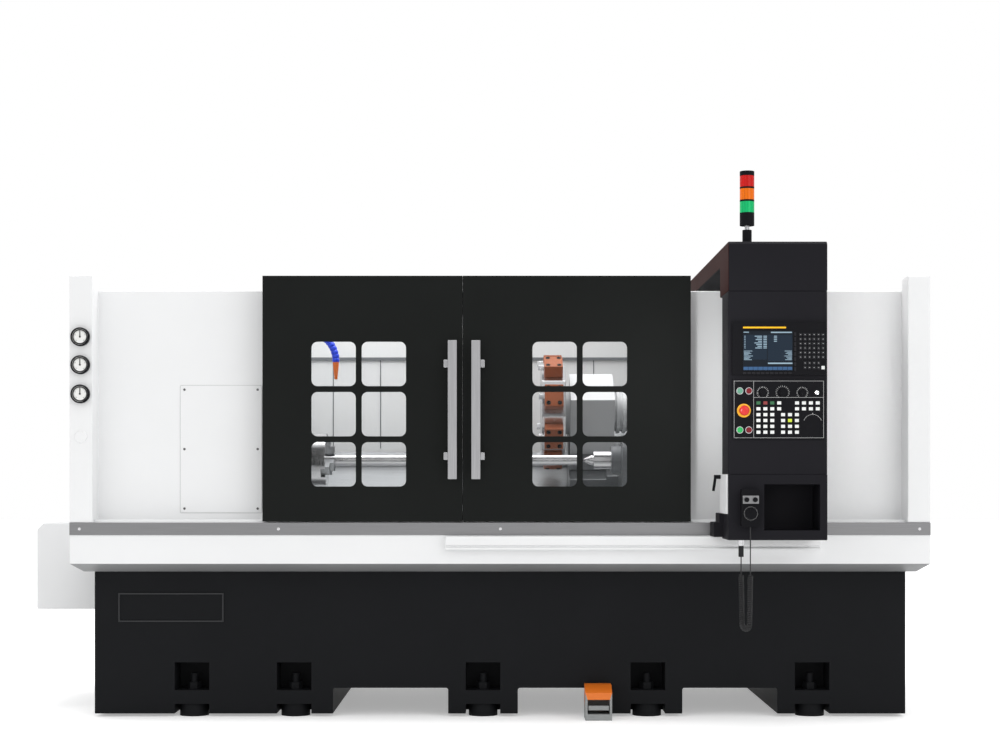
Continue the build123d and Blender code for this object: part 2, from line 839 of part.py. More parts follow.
def make_turret_body():
    """Turret housing on the cross slide, with a front boss and a ribbed motor behind."""
    body_u = (turret_u - turret_body_half, turret_u + turret_body_half)
    body = slope_block((turret_body_left, turret_body_right), body_u, (cross_top, turret_body_half))
    body += turret_rod(turret_disc_right + slide_gap, turret_body_left, turret_boss_radius)
    body += turret_rod(turret_body_right, turret_motor_right, turret_motor_radius - motor_rib_depth)
    pitch = (turret_motor_right - turret_body_right) / motor_rib_count
    for rib in range(motor_rib_count):
        start = turret_body_right + rib * pitch + pitch / 2
        body += turret_rod(start, start + pitch / 2, turret_motor_radius)
    return body - turret_rod(turret_disc_right, turret_body_right, turret_shaft_radius + run_gap)


def turret_plane(x):
    """Plane across the turret axis, with one flat of the disc facing down the slope."""
    angle = math.radians(slant)
    return Plane(origin=(x, turret_y, turret_z), x_dir=(0, math.cos(angle), math.sin(angle)), z_dir=(1, 0, 0))


def make_turret_disc():
    """Many-sided turret disc with its shaft."""
    flats = RegularPolygon(turret_flat_radius, turret_stations, major_radius=False,
                           rotation=180 / turret_stations)
    disc = extrude(turret_plane(turret_disc_left) * flats, turret_disc_right - turret_disc_left)
    return disc + turret_rod(turret_disc_right, turret_body_right - cut_overrun, turret_shaft_radius)


def make_tool_blocks():
    """Tool holder on each flat of the disc, with a square tool out of its left side."""
    blocks = []
    middle = (turret_disc_left + turret_disc_right) / 2
    for station in range(turret_stations):
        turned = Rot(0, 0, station * 360 / turret_stations)
        holder = Pos(turret_flat_radius + block_base / 2, 0) * Rectangle(block_base, block_width)
        tool = Pos(turret_flat_radius + block_base / 2, 0) * Rectangle(tool_width, tool_width)
        left = middle - block_length / 2
        body = extrude(turret_plane(left) * turned * holder, block_length)
        blocks.append(body + extrude(turret_plane(left - tool_overhang) * turned * tool, tool_overhang))
    return blocks


def make_coolant_hose():
    """Jointed coolant hose from the left wall, bent down to its nozzle."""
    straight = hose_bend
    arc = hose_bend * math.pi / 2
    pitch = (straight + arc) / hose_segments
    corner_x = work_left + hose_flange + straight

    def place(distance):
        if distance <= straight:
            return Vector(work_left + hose_flange + distance, hose_y, hose_z)
        angle = (distance - straight) / hose_bend
        x = corner_x + hose_bend * math.sin(angle)
        return Vector(x, hose_y, hose_z - hose_bend * (1 - math.cos(angle)))

    pieces = [rod((work_left, hose_y, hose_z), (1, 0, 0), hose_flange_radius, hose_flange)]
    for number in range(hose_segments):
        start = place(number * pitch)
        step = place((number + 1) * pitch) - start
        bead = Solid.make_cone(hose_radius, hose_radius * bead_taper_share, step.length + bead_overlap,
                               Plane(origin=start, z_dir=step))
        pieces.append(bead)
    end = place(straight + arc)
    nozzle = Solid.make_cone(hose_radius, hose_tip_radius, hose_nozzle, Plane(origin=end, z_dir=(0, 0, -1)))
    return fuse(pieces + [nozzle])


def make_console_arm():
    """Head box over the cabinet and the arm that runs back over the doors to the rear rail."""
    rail_front = body_back - sheet
    outline = ((console_front, head_box_bottom), (head_box_back, head_box_bottom),
               (head_box_back, arm_underside), (rail_front - carriage_cheek, arm_underside),
               (rail_front - carriage_cheek, rear_rail_top - carriage_drop),
               (rail_front - slide_gap, rear_rail_top - carriage_drop),
               (rail_front - slide_gap, rear_rail_top + slide_gap), (body_back, rear_rail_top + slide_gap),
               (body_back, arm_top), (console_front + arm_fillet, arm_top),
               (console_front, arm_top - arm_fillet))
    return x_profile(outline, console_left, console_right)


def make_cabinet():
    """Control cabinet with bevelled front edges."""
    outline = ((console_left, console_back), (console_left, console_front + cabinet_edge),
               (console_left + cabinet_edge, console_front), (console_right - cabinet_edge, console_front),
               (console_right, console_front + cabinet_edge), (console_right, console_back))
    return z_profile(outline, shelf_top, head_box_bottom)


def make_shelf():
    """Lower box with an open pocket, the bracket on the rail and the clamp block beside it."""
    shelf = block((console_left, console_right), (console_front, console_back), (shelf_bottom, shelf_top))
    pocket_y = (console_front - cut_overrun, console_front + shelf_pocket_depth)
    shelf -= block((pocket_left, pocket_right), pocket_y, (shelf_pocket_bottom, shelf_pocket_top))
    bracket_z = (rail_top + slide_gap, shelf_pocket_bottom)
    shelf += block((console_left, console_right), (console_back, clamp_back), bracket_z)
    clamp_y = (clamp_back - clamp_depth, clamp_back)
    shelf += block((console_left - clamp_reach, console_left), clamp_y, (rail_top + slide_gap, clamp_step))
    return shelf + block((console_left - clamp_neck, console_left), clamp_y, (clamp_step, clamp_top))


def make_clamp_post():
    """White side plate above the rail clamp, with a blind hole for the lever's stud."""
    plate_x = (console_left - side_plate, console_left)
    plate = block(plate_x, (side_plate_front, side_plate_back), (clamp_top, shelf_top))
    hole_start = (console_left - side_plate - cut_overrun, lever_y, lever_z)
    return plate - rod(hole_start, (1, 0, 0), stud_radius + run_gap, stud_depth + slide_gap + cut_overrun)


def make_clamp_lever():
    """Clamp lever: stud in the side plate, boss and a grip that hangs from the boss's end."""
    face = console_left - side_plate - slide_gap
    lever = rod((face, lever_y, lever_z), (-1, 0, 0), lever_boss_radius, lever_boss)
    lever += rod((face, lever_y, lever_z), (1, 0, 0), stud_radius, stud_depth)
    grip_start = (face - lever_boss + lever_radius, lever_y, lever_z)
    return lever + rod(grip_start, (-lever_spread, 0, -lever_drop), lever_radius, lever_drop)


def key_rows(left, bottom, columns, rows, pitch, rise, face, shares):
    """Grid of keys that stand proud of a face; shares are a key's width and height over its pitch and rise."""
    width = pitch * shares[0]
    height = rise * shares[1]
    keys = []
    for column in range(columns):
        for row in range(rows):
            x = left + column * pitch
            z = bottom + row * rise
            keys.append(block((x, x + width), (face - key_proud, face), (z, z + height)))
    return keys


def make_screen_unit():
    """Display bezel with a sunk screen, soft keys beside and below it and a keypad."""
    unit = face_plate((screen_left, screen_right), (screen_bottom, screen_top), console_front,
                      screen_unit_depth, cabinet_edge)
    face = console_front - screen_unit_depth
    recess_y = (face - cut_overrun, face + glass_recess)
    unit -= block((glass_left, glass_right), recess_y, (glass_bottom, glass_top))
    pad_shares = (pad_key_share, pad_key_share)
    keys = key_rows(keypad_left, keypad_bottom, keypad_columns, keypad_rows, keypad_pitch, keypad_pitch, face,
                    pad_shares)
    keys += key_rows(keypad_left + keypad_pitch, cursor_bottom, cursor_columns, cursor_rows, keypad_pitch,
                     keypad_pitch, face, pad_shares)
    soft_bottom = (screen_bottom + glass_bottom) / 2 - soft_key_height / 2
    soft_pitch = (glass_right - glass_left) / soft_key_count
    keys += key_rows(glass_left, soft_bottom, soft_key_count, 1, soft_pitch, soft_key_height, face, pad_shares)
    side_rise = (glass_top - glass_bottom) / side_key_count
    keys += key_rows(side_key_left, glass_bottom, 1, side_key_count, side_key_width, side_rise, face, pad_shares)
    return fuse([unit] + keys)


panel_face = console_front - panel_thickness


def panel_hole(x, z, radius, collar):
    """Cutter for a round hole through the operator panel and the collar on it."""
    return rod((x, console_front + cut_overrun, z), (0, -1, 0), radius + run_gap,
               panel_thickness + collar + 2 * cut_overrun)


button_places = [(button_left_x, top_button_z), (button_right_x, top_button_z),
                 (button_left_x, low_button_z), (button_right_x, low_button_z)]


def make_operator_panel():
    """Operator panel with button collars, key grids, the key switch and the stop ring."""
    panel = face_plate((panel_left, panel_right), (panel_bottom, panel_top), console_front,
                       panel_thickness, cabinet_edge)
    for x, z in button_places:
        panel += rod((x, panel_face, z), (0, -1, 0), button_collar_radius, button_collar)
        panel -= panel_hole(x, z, button_radius, button_collar)
    panel += rod((stop_x, panel_face, stop_z), (0, -1, 0), stop_ring_radius, stop_ring)
    panel -= panel_hole(stop_x, stop_z, stop_stem_radius, stop_ring)
    for x in dial_xs:
        panel -= panel_hole(x, dial_z, dial_shaft_radius, 0)
    panel += rod((key_switch_x, panel_face, dial_z), (0, -1, 0), key_switch_radius, key_switch_height)
    shares = (key_width_share, key_height_share)
    keys = key_rows(mode_keys_left, mode_keys_bottom, mode_key_columns, mode_key_rows, key_pitch, key_rise,
                    panel_face, shares)
    keys += key_rows(axis_keys_left, mode_keys_bottom, mode_key_columns, axis_key_rows, key_pitch, key_rise,
                     panel_face, shares)
    jog_bottom = mode_keys_bottom + axis_key_rows * key_rise
    keys += key_rows(jog_keys_left, jog_bottom, jog_key_columns, jog_key_rows, key_pitch, key_rise,
                     panel_face, shares)
    keys += key_rows(mode_keys_left + mode_key_columns * key_pitch, jog_bottom, 1, jog_key_rows, key_pitch,
                     key_rise, panel_face, shares)
    return fuse([panel] + keys)


def make_button(x, z):
    """Round push button in its collar."""
    back = console_front - button_travel - slide_gap
    return rod((x, back, z), (0, -1, 0), button_radius, button_height)


def make_stop_button():
    """Mushroom emergency stop on a stem."""
    back = console_front - stop_travel - slide_gap
    head_back = panel_face - stop_ring - stop_travel - slide_gap
    stop = rod((stop_x, back, stop_z), (0, -1, 0), stop_stem_radius, back - head_back)
    return stop + rod((stop_x, head_back, stop_z), (0, -1, 0), stop_radius, stop_head)


def make_dial(x):
    """Override dial with a shaft in the panel and a pointer rib."""
    back = panel_face - slide_gap
    dial = rod((x, back, dial_z), (0, -1, 0), dial_radius, dial_height)
    dial += rod((x, back, dial_z), (0, 1, 0), dial_shaft_radius, dial_shaft)
    pointer_x = (x - dial_pointer / 2, x + dial_pointer / 2)
    front = back - dial_height
    return dial + block(pointer_x, (front - dial_pointer / 2, front), (dial_z, dial_z + dial_radius))


pendant_x = (pendant_left + pendant_right) / 2
pendant_rise = pendant_top - pendant_bottom
wheel_z = pendant_bottom + wheel_z_share * pendant_rise


def make_pendant():
    """Hand pendant with a plate, two selector knobs and a hole for the wheel shaft."""
    body = face_plate((pendant_left, pendant_right), (pendant_bottom, pendant_top), console_front,
                      pendant_depth, pendant_corner)
    plate_z = pendant_bottom + pendant_plate_share * pendant_rise
    plate_x = (pendant_left + pendant_corner / 2, pendant_right - pendant_corner / 2)
    body += block(plate_x, (pendant_front - pendant_plate, pendant_front),
                  (plate_z - pendant_plate_height / 2, plate_z + pendant_plate_height / 2))
    for share in pendant_knob_shares:
        x = pendant_left + share * (pendant_right - pendant_left)
        body += rod((x, pendant_front, plate_z), (0, -1, 0), pendant_knob_radius, pendant_plate + pendant_knob)
    hole_start = (pendant_x, pendant_front - cut_overrun, wheel_z)
    return body - rod(hole_start, (0, 1, 0), wheel_shaft_radius + run_gap, cut_overrun + pendant_depth / 2)


def make_pendant_wheel():
    """Hand wheel with a crank peg and a shaft in the pendant."""
    back = pendant_front - wheel_shaft
    wheel = rod((pendant_x, back, wheel_z), (0, -1, 0), wheel_radius, wheel_thickness)
    wheel += rod((pendant_x, back, wheel_z), (0, 1, 0), wheel_shaft_radius, wheel_shaft + pendant_depth / 4)
    peg_z = wheel_z + wheel_radius - 2 * wheel_grip_radius
    return wheel + rod((pendant_x, back - wheel_thickness, peg_z), (0, -1, 0), wheel_grip_radius, wheel_grip)


lead_y = console_front - pendant_depth / 2


def make_curl():
    """Outer shape of the curly cord: two hanging legs and the bend between them."""
    first = Vector(pendant_x, lead_y, curl_top)
    last = Vector(plug_x, plug_y, curl_top)
    bend = (last - first).length / 2
    low = curl_bottom + curl_radius + bend
    first_low = Vector(pendant_x, lead_y, low)
    last_low = Vector(plug_x, plug_y, low)
    bottom = (first_low + last_low) / 2 - Vector(0, 0, bend)
    path = Wire([Edge.make_line(first, first_low), Edge.make_three_point_arc(first_low, bottom, last_low),
                 Edge.make_line(last_low, last)])
    return sweep(Plane(origin=first, z_dir=(0, 0, -1)) * Circle(curl_radius), path=path)


def make_plug():
    """Cord connector under the console: nut and strain relief."""
    plug = rod((plug_x, plug_y, shelf_bottom), (0, 0, -1), plug_nut_radius, plug_nut)
    return plug + rod((plug_x, plug_y, shelf_bottom - plug_nut), (0, 0, -1), plug_radius,
                      shelf_bottom - plug_nut - plug_bottom)


tower_base_top = arm_top + tower_foot + tower_pole + tower_base


def lens_bottom(number):
    """Lower end of one lens of the tower lamp."""
    return tower_base_top + number * (lens_height + lens_gap)


def make_tower_stack():
    """Tower lamp foot, pole and base, the rings between the lenses and the cap."""
    stand = rod((tower_x, tower_y, arm_top), (0, 0, 1), tower_foot_radius, tower_foot)
    stand += rod((tower_x, tower_y, arm_top + tower_foot), (0, 0, 1), tower_pole_radius, tower_pole)
    stand += rod((tower_x, tower_y, tower_base_top - tower_base), (0, 0, 1), tower_radius, tower_base)
    pieces = [stand]
    for number in range(lens_count):
        ring_z = lens_bottom(number) + lens_height
        height = lens_gap if number < lens_count - 1 else tower_cap
        pieces.append(rod((tower_x, tower_y, ring_z), (0, 0, 1), tower_radius, height))
    return pieces


def make_tower_lenses():
    """Three coloured lenses."""
    return [rod((tower_x, tower_y, lens_bottom(number)), (0, 0, 1), tower_radius, lens_height)
            for number in range(lens_count)]


treadle_pivot_y = switch_back - 2 * switch_base
treadle_pivot_z = switch_base + treadle_thickness


def make_switch_body():
    """Foot switch base with two cheeks and a hood over the treadle."""
    outline = ((switch_front, 0), (switch_back, 0), (switch_back, hood_top),
               (switch_front + hood_top / 3, hood_top), (switch_front, (hood_top + hood_bottom) / 2))
    body = x_profile(outline, switch_left, switch_right)
    inside_x = (switch_left + switch_wall, switch_right - switch_wall)
    body -= block(inside_x, (switch_front - cut_overrun, switch_back - switch_wall), (switch_base, hood_bottom))
    pin_start = (switch_left - cut_overrun, treadle_pivot_y, treadle_pivot_z)
    pin_length = switch_right - switch_left + 2 * cut_overrun
    return body - rod(pin_start, (1, 0, 0), treadle_pin_radius + run_gap, pin_length)


def make_treadle():
    """Sloped treadle on a cross pin."""
    low = treadle_pivot_z - treadle_thickness / 2
    front_low = low + treadle_rise - treadle_thickness
    outline = ((treadle_pivot_y, low), (treadle_pivot_y, low + treadle_thickness),
               (switch_front + treadle_gap, front_low + treadle_lip), (switch_front + treadle_gap, front_low))
    inset = switch_wall + treadle_gap
    treadle = x_profile(outline, switch_left + inset, switch_right - inset)
    pin_start = (switch_left, treadle_pivot_y, treadle_pivot_z)
    return treadle + rod(pin_start, (1, 0, 0), treadle_pin_radius, switch_right - switch_left)


def make_all():
    """Build every piece under its node name."""
    left_door_x = (work_left, door_split - door_seam / 2)
    right_door_x = (door_split + door_seam / 2, doorway_right)
    parts["base_frame"] = make_base()
    parts["levelling_feet"] = make_feet()
    parts["chip_tray"] = make_tray()
    parts["trim_strip"] = make_trim()
    parts["console_rail"] = make_console_rail()
    parts["left_cover"] = make_left_cover()
    parts["right_cover"] = make_right_cover()
    parts["rear_cover"] = make_rear_cover()
    parts["door_track"] = make_door_track()
    parts["access_panel"] = make_access_panel()
    parts["pressure_gauges"] = make_gauges()
    parts["motor_cover"] = make_motor_cover()
    parts["left_door_panel"] = make_door(left_door_x, left_window_start)
    parts["right_door_panel"] = make_door(right_door_x, right_window_start)
    parts["left_door_windows"] = make_windows(left_window_start)
    parts["right_door_windows"] = make_windows(right_window_start)
    parts["left_door_handle"] = make_handle(left_handle_x, -1)
    parts["right_door_handle"] = make_handle(right_handle_x, 1)
    parts["headstock"] = make_headstock()
    parts["spindle"] = make_spindle()
    parts["chuck_body"] = make_chuck()
    for number, degrees in enumerate(jaw_angles, 1):
        parts[f"chuck_jaw_{number}"] = make_jaw(degrees)
    parts["work_shaft"] = make_work_shaft()
    parts["slant_bed"] = make_bed()
    parts["saddle"] = make_saddle()
    parts["cross_slide"] = make_cross_slide()
    parts["turret_body"] = make_turret_body()
    parts["turret_disc"] = make_turret_disc()
    parts["tool_blocks"] = make_tool_blocks()
    parts["tailstock_body"] = make_tailstock()
    parts["tailstock_quill"] = make_quill()
    parts["live_centre"] = make_live_centre()
    parts["coolant_hose"] = make_coolant_hose()
    parts["console_arm"] = make_console_arm()
    parts["console_cabinet"] = make_cabinet()
    parts["console_shelf"] = make_shelf()
    parts["clamp_post"] = make_clamp_post()
    parts["clamp_lever"] = make_clamp_lever()
    parts["screen_unit"] = make_screen_unit()
    parts["operator_panel"] = make_operator_panel()
    button_names = ("power_on_button", "power_off_button", "cycle_start_button", "feed_hold_button")
    for name, (x, z) in zip(button_names, button_places):
        parts[name] = make_button(x, z)
    parts["estop_button"] = make_stop_button()
    dial_names = ("spindle_override_knob", "feed_override_knob", "rapid_override_knob")
    for name, x in zip(dial_names, dial_xs):
        parts[name] = make_dial(x)
    parts["pendant_body"] = make_pendant()
    parts["pendant_wheel"] = make_pendant_wheel()
    parts["pendant_lead"] = rod((pendant_x, lead_y, pendant_bottom), (0, 0, -1), lead_radius,
                                pendant_bottom - curl_top)
    parts["cord_curl"] = make_curl()
    parts["socket_lead"] = rod((plug_x, plug_y, plug_bottom), (0, 0, -1), lead_radius, plug_bottom - curl_top)
    parts["cord_plug"] = make_plug()
    parts["tower_stack"] = make_tower_stack()
    parts["tower_lenses"] = make_tower_lenses()
    parts["foot_switch_body"] = make_switch_body()
    parts["foot_switch_treadle"] = make_treadle()


def export_all():
    """Move every piece to the machine's own origin and write one file per node."""
    os.makedirs("parts", exist_ok=True)
    for name, shape in parts.items():
        group = shape if isinstance(shape, list) else [shape]
        placed = [piece.translate(-origin) for piece in group]
        export_step(placed[0] if len(placed) == 1 else Compound(placed), f"parts/{name}.step")


make_all()
export_all()
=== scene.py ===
import math

import bmesh
import bpy
from mathutils import Matrix, Vector


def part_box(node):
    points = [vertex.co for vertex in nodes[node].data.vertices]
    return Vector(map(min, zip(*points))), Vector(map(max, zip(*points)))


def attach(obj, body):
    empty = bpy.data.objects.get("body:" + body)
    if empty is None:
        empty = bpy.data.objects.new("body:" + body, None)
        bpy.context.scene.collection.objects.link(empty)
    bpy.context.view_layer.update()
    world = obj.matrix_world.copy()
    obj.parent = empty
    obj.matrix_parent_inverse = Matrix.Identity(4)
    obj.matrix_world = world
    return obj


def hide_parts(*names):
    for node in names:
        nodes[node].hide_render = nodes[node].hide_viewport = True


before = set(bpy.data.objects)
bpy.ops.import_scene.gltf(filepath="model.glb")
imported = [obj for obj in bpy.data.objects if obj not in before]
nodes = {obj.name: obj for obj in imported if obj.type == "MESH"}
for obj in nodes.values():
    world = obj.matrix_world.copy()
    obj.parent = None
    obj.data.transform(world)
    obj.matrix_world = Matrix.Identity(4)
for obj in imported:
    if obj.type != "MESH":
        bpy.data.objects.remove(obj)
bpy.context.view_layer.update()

# Looks of an enclosed turning lathe: finishes, screws, panel marks, screen, cord, studio light and camera.
# Metres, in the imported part's own frame: X right, -Y towards the operator, Z up.


# Materials


def new_material(name):
    """Empty node material with its shader and output."""
    material = bpy.data.materials.new(name)
    material.use_nodes = True
    return material, material.node_tree, material.node_tree.nodes["Principled BSDF"]


def add_node(tree, kind, **values):
    """One shader node with its input values set."""
    node = tree.nodes.new(kind)
    for key, value in values.items():
        if key in node.inputs:
            node.inputs[key].default_value = value
        else:
            setattr(node, key, value)
    return node


def object_coordinates(tree, scale):
    """Object coordinates stretched by a scale."""
    source = add_node(tree, "ShaderNodeTexCoord")
    mapping = add_node(tree, "ShaderNodeMapping")
    mapping.inputs["Scale"].default_value = scale
    tree.links.new(source.outputs["Object"], mapping.inputs["Vector"])
    return mapping.outputs["Vector"]


def add_noise(tree, vector, scale, detail):
    """Noise texture on given coordinates."""
    noise = add_node(tree, "ShaderNodeTexNoise", Scale=scale, Detail=detail)
    tree.links.new(vector, noise.inputs["Vector"])
    return noise.outputs["Fac"]


def map_range(tree, value, low, high):
    """A 0 to 1 value moved to another range."""
    node = add_node(tree, "ShaderNodeMapRange")
    node.inputs["To Min"].default_value = low
    node.inputs["To Max"].default_value = high
    tree.links.new(value, node.inputs["Value"])
    return node.outputs["Result"]


def vary_colour(tree, shader, value, dark, light):
    """Base colour between two shades by a 0 to 1 value."""
    ramp = add_node(tree, "ShaderNodeValToRGB")
    ramp.color_ramp.elements[0].color = (*dark, 1)
    ramp.color_ramp.elements[1].color = (*light, 1)
    ramp.color_ramp.elements[0].position = 0.3
    ramp.color_ramp.elements[1].position = 0.7
    tree.links.new(value, ramp.inputs["Fac"])
    tree.links.new(ramp.outputs["Color"], shader.inputs["Base Color"])


def add_bump(tree, shader, height, strength, distance):
    """Surface relief from a height value."""
    bump = add_node(tree, "ShaderNodeBump", Strength=strength, Distance=distance)
    tree.links.new(height, bump.inputs["Height"])
    tree.links.new(bump.outputs["Normal"], shader.inputs["Normal"])


def shade(colour, factor):
    """A colour made lighter or darker."""
    return tuple(min(1.0, channel * factor) for channel in colour)


def paint(name, colour, roughness=0.42, grain=900.0, relief=0.12, spread=0.06, gloss_level=0.5):
    """Powder coat: fine orange peel, faint cloudy shade and uneven gloss."""
    material, tree, shader = new_material(name)
    vector = object_coordinates(tree, (1, 1, 1))
    cloud = add_noise(tree, vector, 3.0, 4.0)
    peel = add_noise(tree, vector, grain, 2.0)
    vary_colour(tree, shader, cloud, shade(colour, 1 - spread), shade(colour, 1 + spread))
    gloss = map_range(tree, cloud, roughness - 0.05, roughness + 0.07)
    tree.links.new(gloss, shader.inputs["Roughness"])
    add_bump(tree, shader, peel, relief, 0.0004)
    shader.inputs["Specular IOR Level"].default_value = gloss_level
    return material


def brushed(name, colour, stretch, roughness=0.32, spread=0.16, relief=0.08, metal=1.0):
    """Brushed or ground metal with fine lines along one axis."""
    material, tree, shader = new_material(name)
    vector = object_coordinates(tree, stretch)
    lines = add_noise(tree, vector, 1.0, 5.0)
    vary_colour(tree, shader, lines, shade(colour, 1 - spread), shade(colour, 1 + spread))
    gloss = map_range(tree, lines, roughness - 0.08, roughness + 0.12)
    tree.links.new(gloss, shader.inputs["Roughness"])
    add_bump(tree, shader, lines, relief, 0.0003)
    shader.inputs["Metallic"].default_value = metal
    return material


def plastic(name, colour, roughness=0.45, grain=1400.0, relief=0.1, gloss_level=0.5):
    """Moulded plastic or rubber with a fine grain."""
    material, tree, shader = new_material(name)
    vector = object_coordinates(tree, (1, 1, 1))
    fine = add_noise(tree, vector, grain, 3.0)
    vary_colour(tree, shader, fine, shade(colour, 0.9), shade(colour, 1.1))
    gloss = map_range(tree, fine, roughness - 0.06, roughness + 0.06)
    tree.links.new(gloss, shader.inputs["Roughness"])
    add_bump(tree, shader, fine, relief, 0.0002)
    shader.inputs["Specular IOR Level"].default_value = gloss_level
    return material


def lamp_lens(name, colour):
    """Ribbed coloured lens that glows a little."""
    material, tree, shader = new_material(name)
    vector = object_coordinates(tree, (1, 1, 0.02))
    ribs = add_noise(tree, vector, 260.0, 1.0)
    vary_colour(tree, shader, ribs, shade(colour, 0.75), shade(colour, 1.15))
    add_bump(tree, shader, ribs, 0.5, 0.001)
    shader.inputs["Roughness"].default_value = 0.18
    shader.inputs["Emission Color"].default_value = (*colour, 1)
    shader.inputs["Emission Strength"].default_value = 0.06
    shader.inputs["Coat Weight"].default_value = 0.08
    shader.inputs["Specular IOR Level"].default_value = 0.12
    return material


def glow(name, colour, strength):
    """Lit colour of the display."""
    material, tree, shader = new_material(name)
    vector = object_coordinates(tree, (1, 1, 1))
    fine = add_noise(tree, vector, 2500.0, 1.0)
    vary_colour(tree, shader, fine, shade(colour, 0.92), shade(colour, 1.05))
    shader.inputs["Emission Color"].default_value = (*colour, 1)
    shader.inputs["Emission Strength"].default_value = strength
    shader.inputs["Roughness"].default_value = 0.35
    shader.inputs["Specular IOR Level"].default_value = 0.15
    return material


def clear_glass(name):
    """Clear window pane with a faint tint and smears in its gloss."""
    material, tree, shader = new_material(name)
    vector = object_coordinates(tree, (1, 1, 1))
    smear = add_noise(tree, vector, 7.0, 5.0)
    gloss = map_range(tree, smear, 0.02, 0.1)
    tree.links.new(gloss, shader.inputs["Roughness"])
    shader.inputs["Base Color"].default_value = (0.03, 0.035, 0.035, 1)
    shader.inputs["Alpha"].default_value = 0.08
    shader.inputs["Specular IOR Level"].default_value = 0.5
    return material


ALONG_X = (6, 700, 700)
ALONG_Z = (700, 700, 6)
AROUND_X = (900, 30, 30)
black_paint = paint("black_paint", (0.0095, 0.0105, 0.010), roughness=0.36, relief=0.1, gloss_level=0.06)
base_paint = paint("base_paint", (0.0095, 0.010, 0.0112), roughness=0.5, relief=0.2, grain=600.0,
                   gloss_level=0.06)
plate_paint = paint("plate_paint", (0.02, 0.021, 0.023), roughness=0.35, relief=0.2, gloss_level=0.3)
white_paint = paint("white_paint", (0.795, 0.8, 0.805), roughness=0.4, spread=0.012, gloss_level=0.35)
inner_white = paint("inner_white", (0.66, 0.67, 0.68), roughness=0.45, spread=0.03)
# Painted shade: a grey that stands for the shade on the chip tray's downward-facing bevels.
painted_shade_grey = paint("painted_shade_grey", (0.27, 0.275, 0.28), roughness=0.45)
console_paint = paint("console_paint", (0.0115, 0.0112, 0.0138), roughness=0.55, relief=0.35, grain=1500.0,
                      gloss_level=0.06)
console_side = paint("console_side", (0.026, 0.0055, 0.004), roughness=0.6, relief=0.3, grain=1500.0,
                     gloss_level=0.03)
grey_paint = paint("grey_paint", (0.27, 0.28, 0.28), roughness=0.5)
# Painted shadow: the grey of the gap lines round the access panel.
gap_shadow_paint = paint("gap_shadow_paint", (0.52, 0.53, 0.53), roughness=0.5)
dark_screw = paint("dark_screw", (0.1, 0.1, 0.1), roughness=0.4)
orange_paint = paint("orange_paint", (0.75, 0.17, 0.012), roughness=0.4)
tool_paint = paint("tool_paint", (0.33, 0.085, 0.025), roughness=0.45, spread=0.2)
stainless_x = brushed("stainless_x", (0.22, 0.22, 0.225), ALONG_X, roughness=0.38, spread=0.1)
stainless_z = brushed("stainless_z", (0.36, 0.36, 0.37), ALONG_Z, roughness=0.3, spread=0.14)
stainless_wall = brushed("stainless_wall", (0.8, 0.81, 0.81), ALONG_Z, roughness=0.4, spread=0.03, metal=0.15)
steel = brushed("steel", (0.6, 0.6, 0.61), AROUND_X, roughness=0.22, spread=0.03, relief=0.015)
iron = paint("iron", (0.16, 0.17, 0.18), roughness=0.5, relief=0.5, grain=250.0, spread=0.12)
machined = brushed("machined", (0.34, 0.35, 0.36), ALONG_X, roughness=0.35)
black_plastic = plastic("black_plastic", (0.007, 0.007, 0.0085), gloss_level=0.05)
rubber = plastic("rubber", (0.009, 0.009, 0.01), roughness=0.6, gloss_level=0.25)
cord_rubber = plastic("cord_rubber", (0.011, 0.011, 0.012), roughness=0.28, gloss_level=0.45)
key_white = plastic("key_white", (0.72, 0.73, 0.72), roughness=0.4)
key_grey = plastic("key_grey", (0.016, 0.016, 0.019), roughness=0.5, gloss_level=0.12)
key_green = plastic("key_green", (0.015, 0.12, 0.04), roughness=0.4)
key_red = plastic("key_red", (0.22, 0.02, 0.02), roughness=0.4)
key_lime = plastic("key_lime", (0.55, 0.66, 0.03), roughness=0.4)
red_plastic = plastic("red_plastic", (0.58, 0.015, 0.01), roughness=0.28)
dark_red = plastic("dark_red", (0.16, 0.008, 0.014), roughness=0.28, gloss_level=0.25)
pale_green = plastic("pale_green", (0.1, 0.28, 0.19), roughness=0.28)
green_plastic = plastic("green_plastic", (0.01, 0.36, 0.08), roughness=0.28)
yellow_plastic = plastic("yellow_plastic", (0.85, 0.42, 0.01), roughness=0.35)
blue_plastic = plastic("blue_plastic", (0.02, 0.075, 0.9), roughness=0.3)
orange_plastic = plastic("orange_plastic", (1.0, 0.2, 0.025), roughness=0.3)
dial_white = plastic("dial_white", (0.82, 0.82, 0.8), roughness=0.35)
mark_white = plastic("mark_white", (0.5, 0.5, 0.5), roughness=0.5)
glass = clear_glass("glass")
red_lens = lamp_lens("red_lens", (0.5, 0.007, 0.006))
amber_lens = lamp_lens("amber_lens", (0.72, 0.14, 0.002))
green_lens = lamp_lens("green_lens", (0.003, 0.42, 0.13))
screen_blue = glow("screen_blue", (0.0025, 0.005, 0.009), 0.6)
screen_panel = glow("screen_panel", (0.005, 0.011, 0.02), 0.7)
screen_text = glow("screen_text", (0.2, 0.28, 0.34), 0.5)
screen_keys = glow("screen_keys", (0.028, 0.07, 0.15), 0.5)
screen_bar = glow("screen_bar", (0.75, 0.4, 0.015), 0.25)


# Finishes of the CAD nodes


def dress(name, materials, choose=None):
    """Give a CAD node its materials; choose(centre, normal) picks one per face."""
    mesh = nodes[name].data
    mesh.materials.clear()
    for material in materials:
        mesh.materials.append(material)
    for face in mesh.polygons:
        face.material_index = choose(face.center, face.normal) if choose else 0


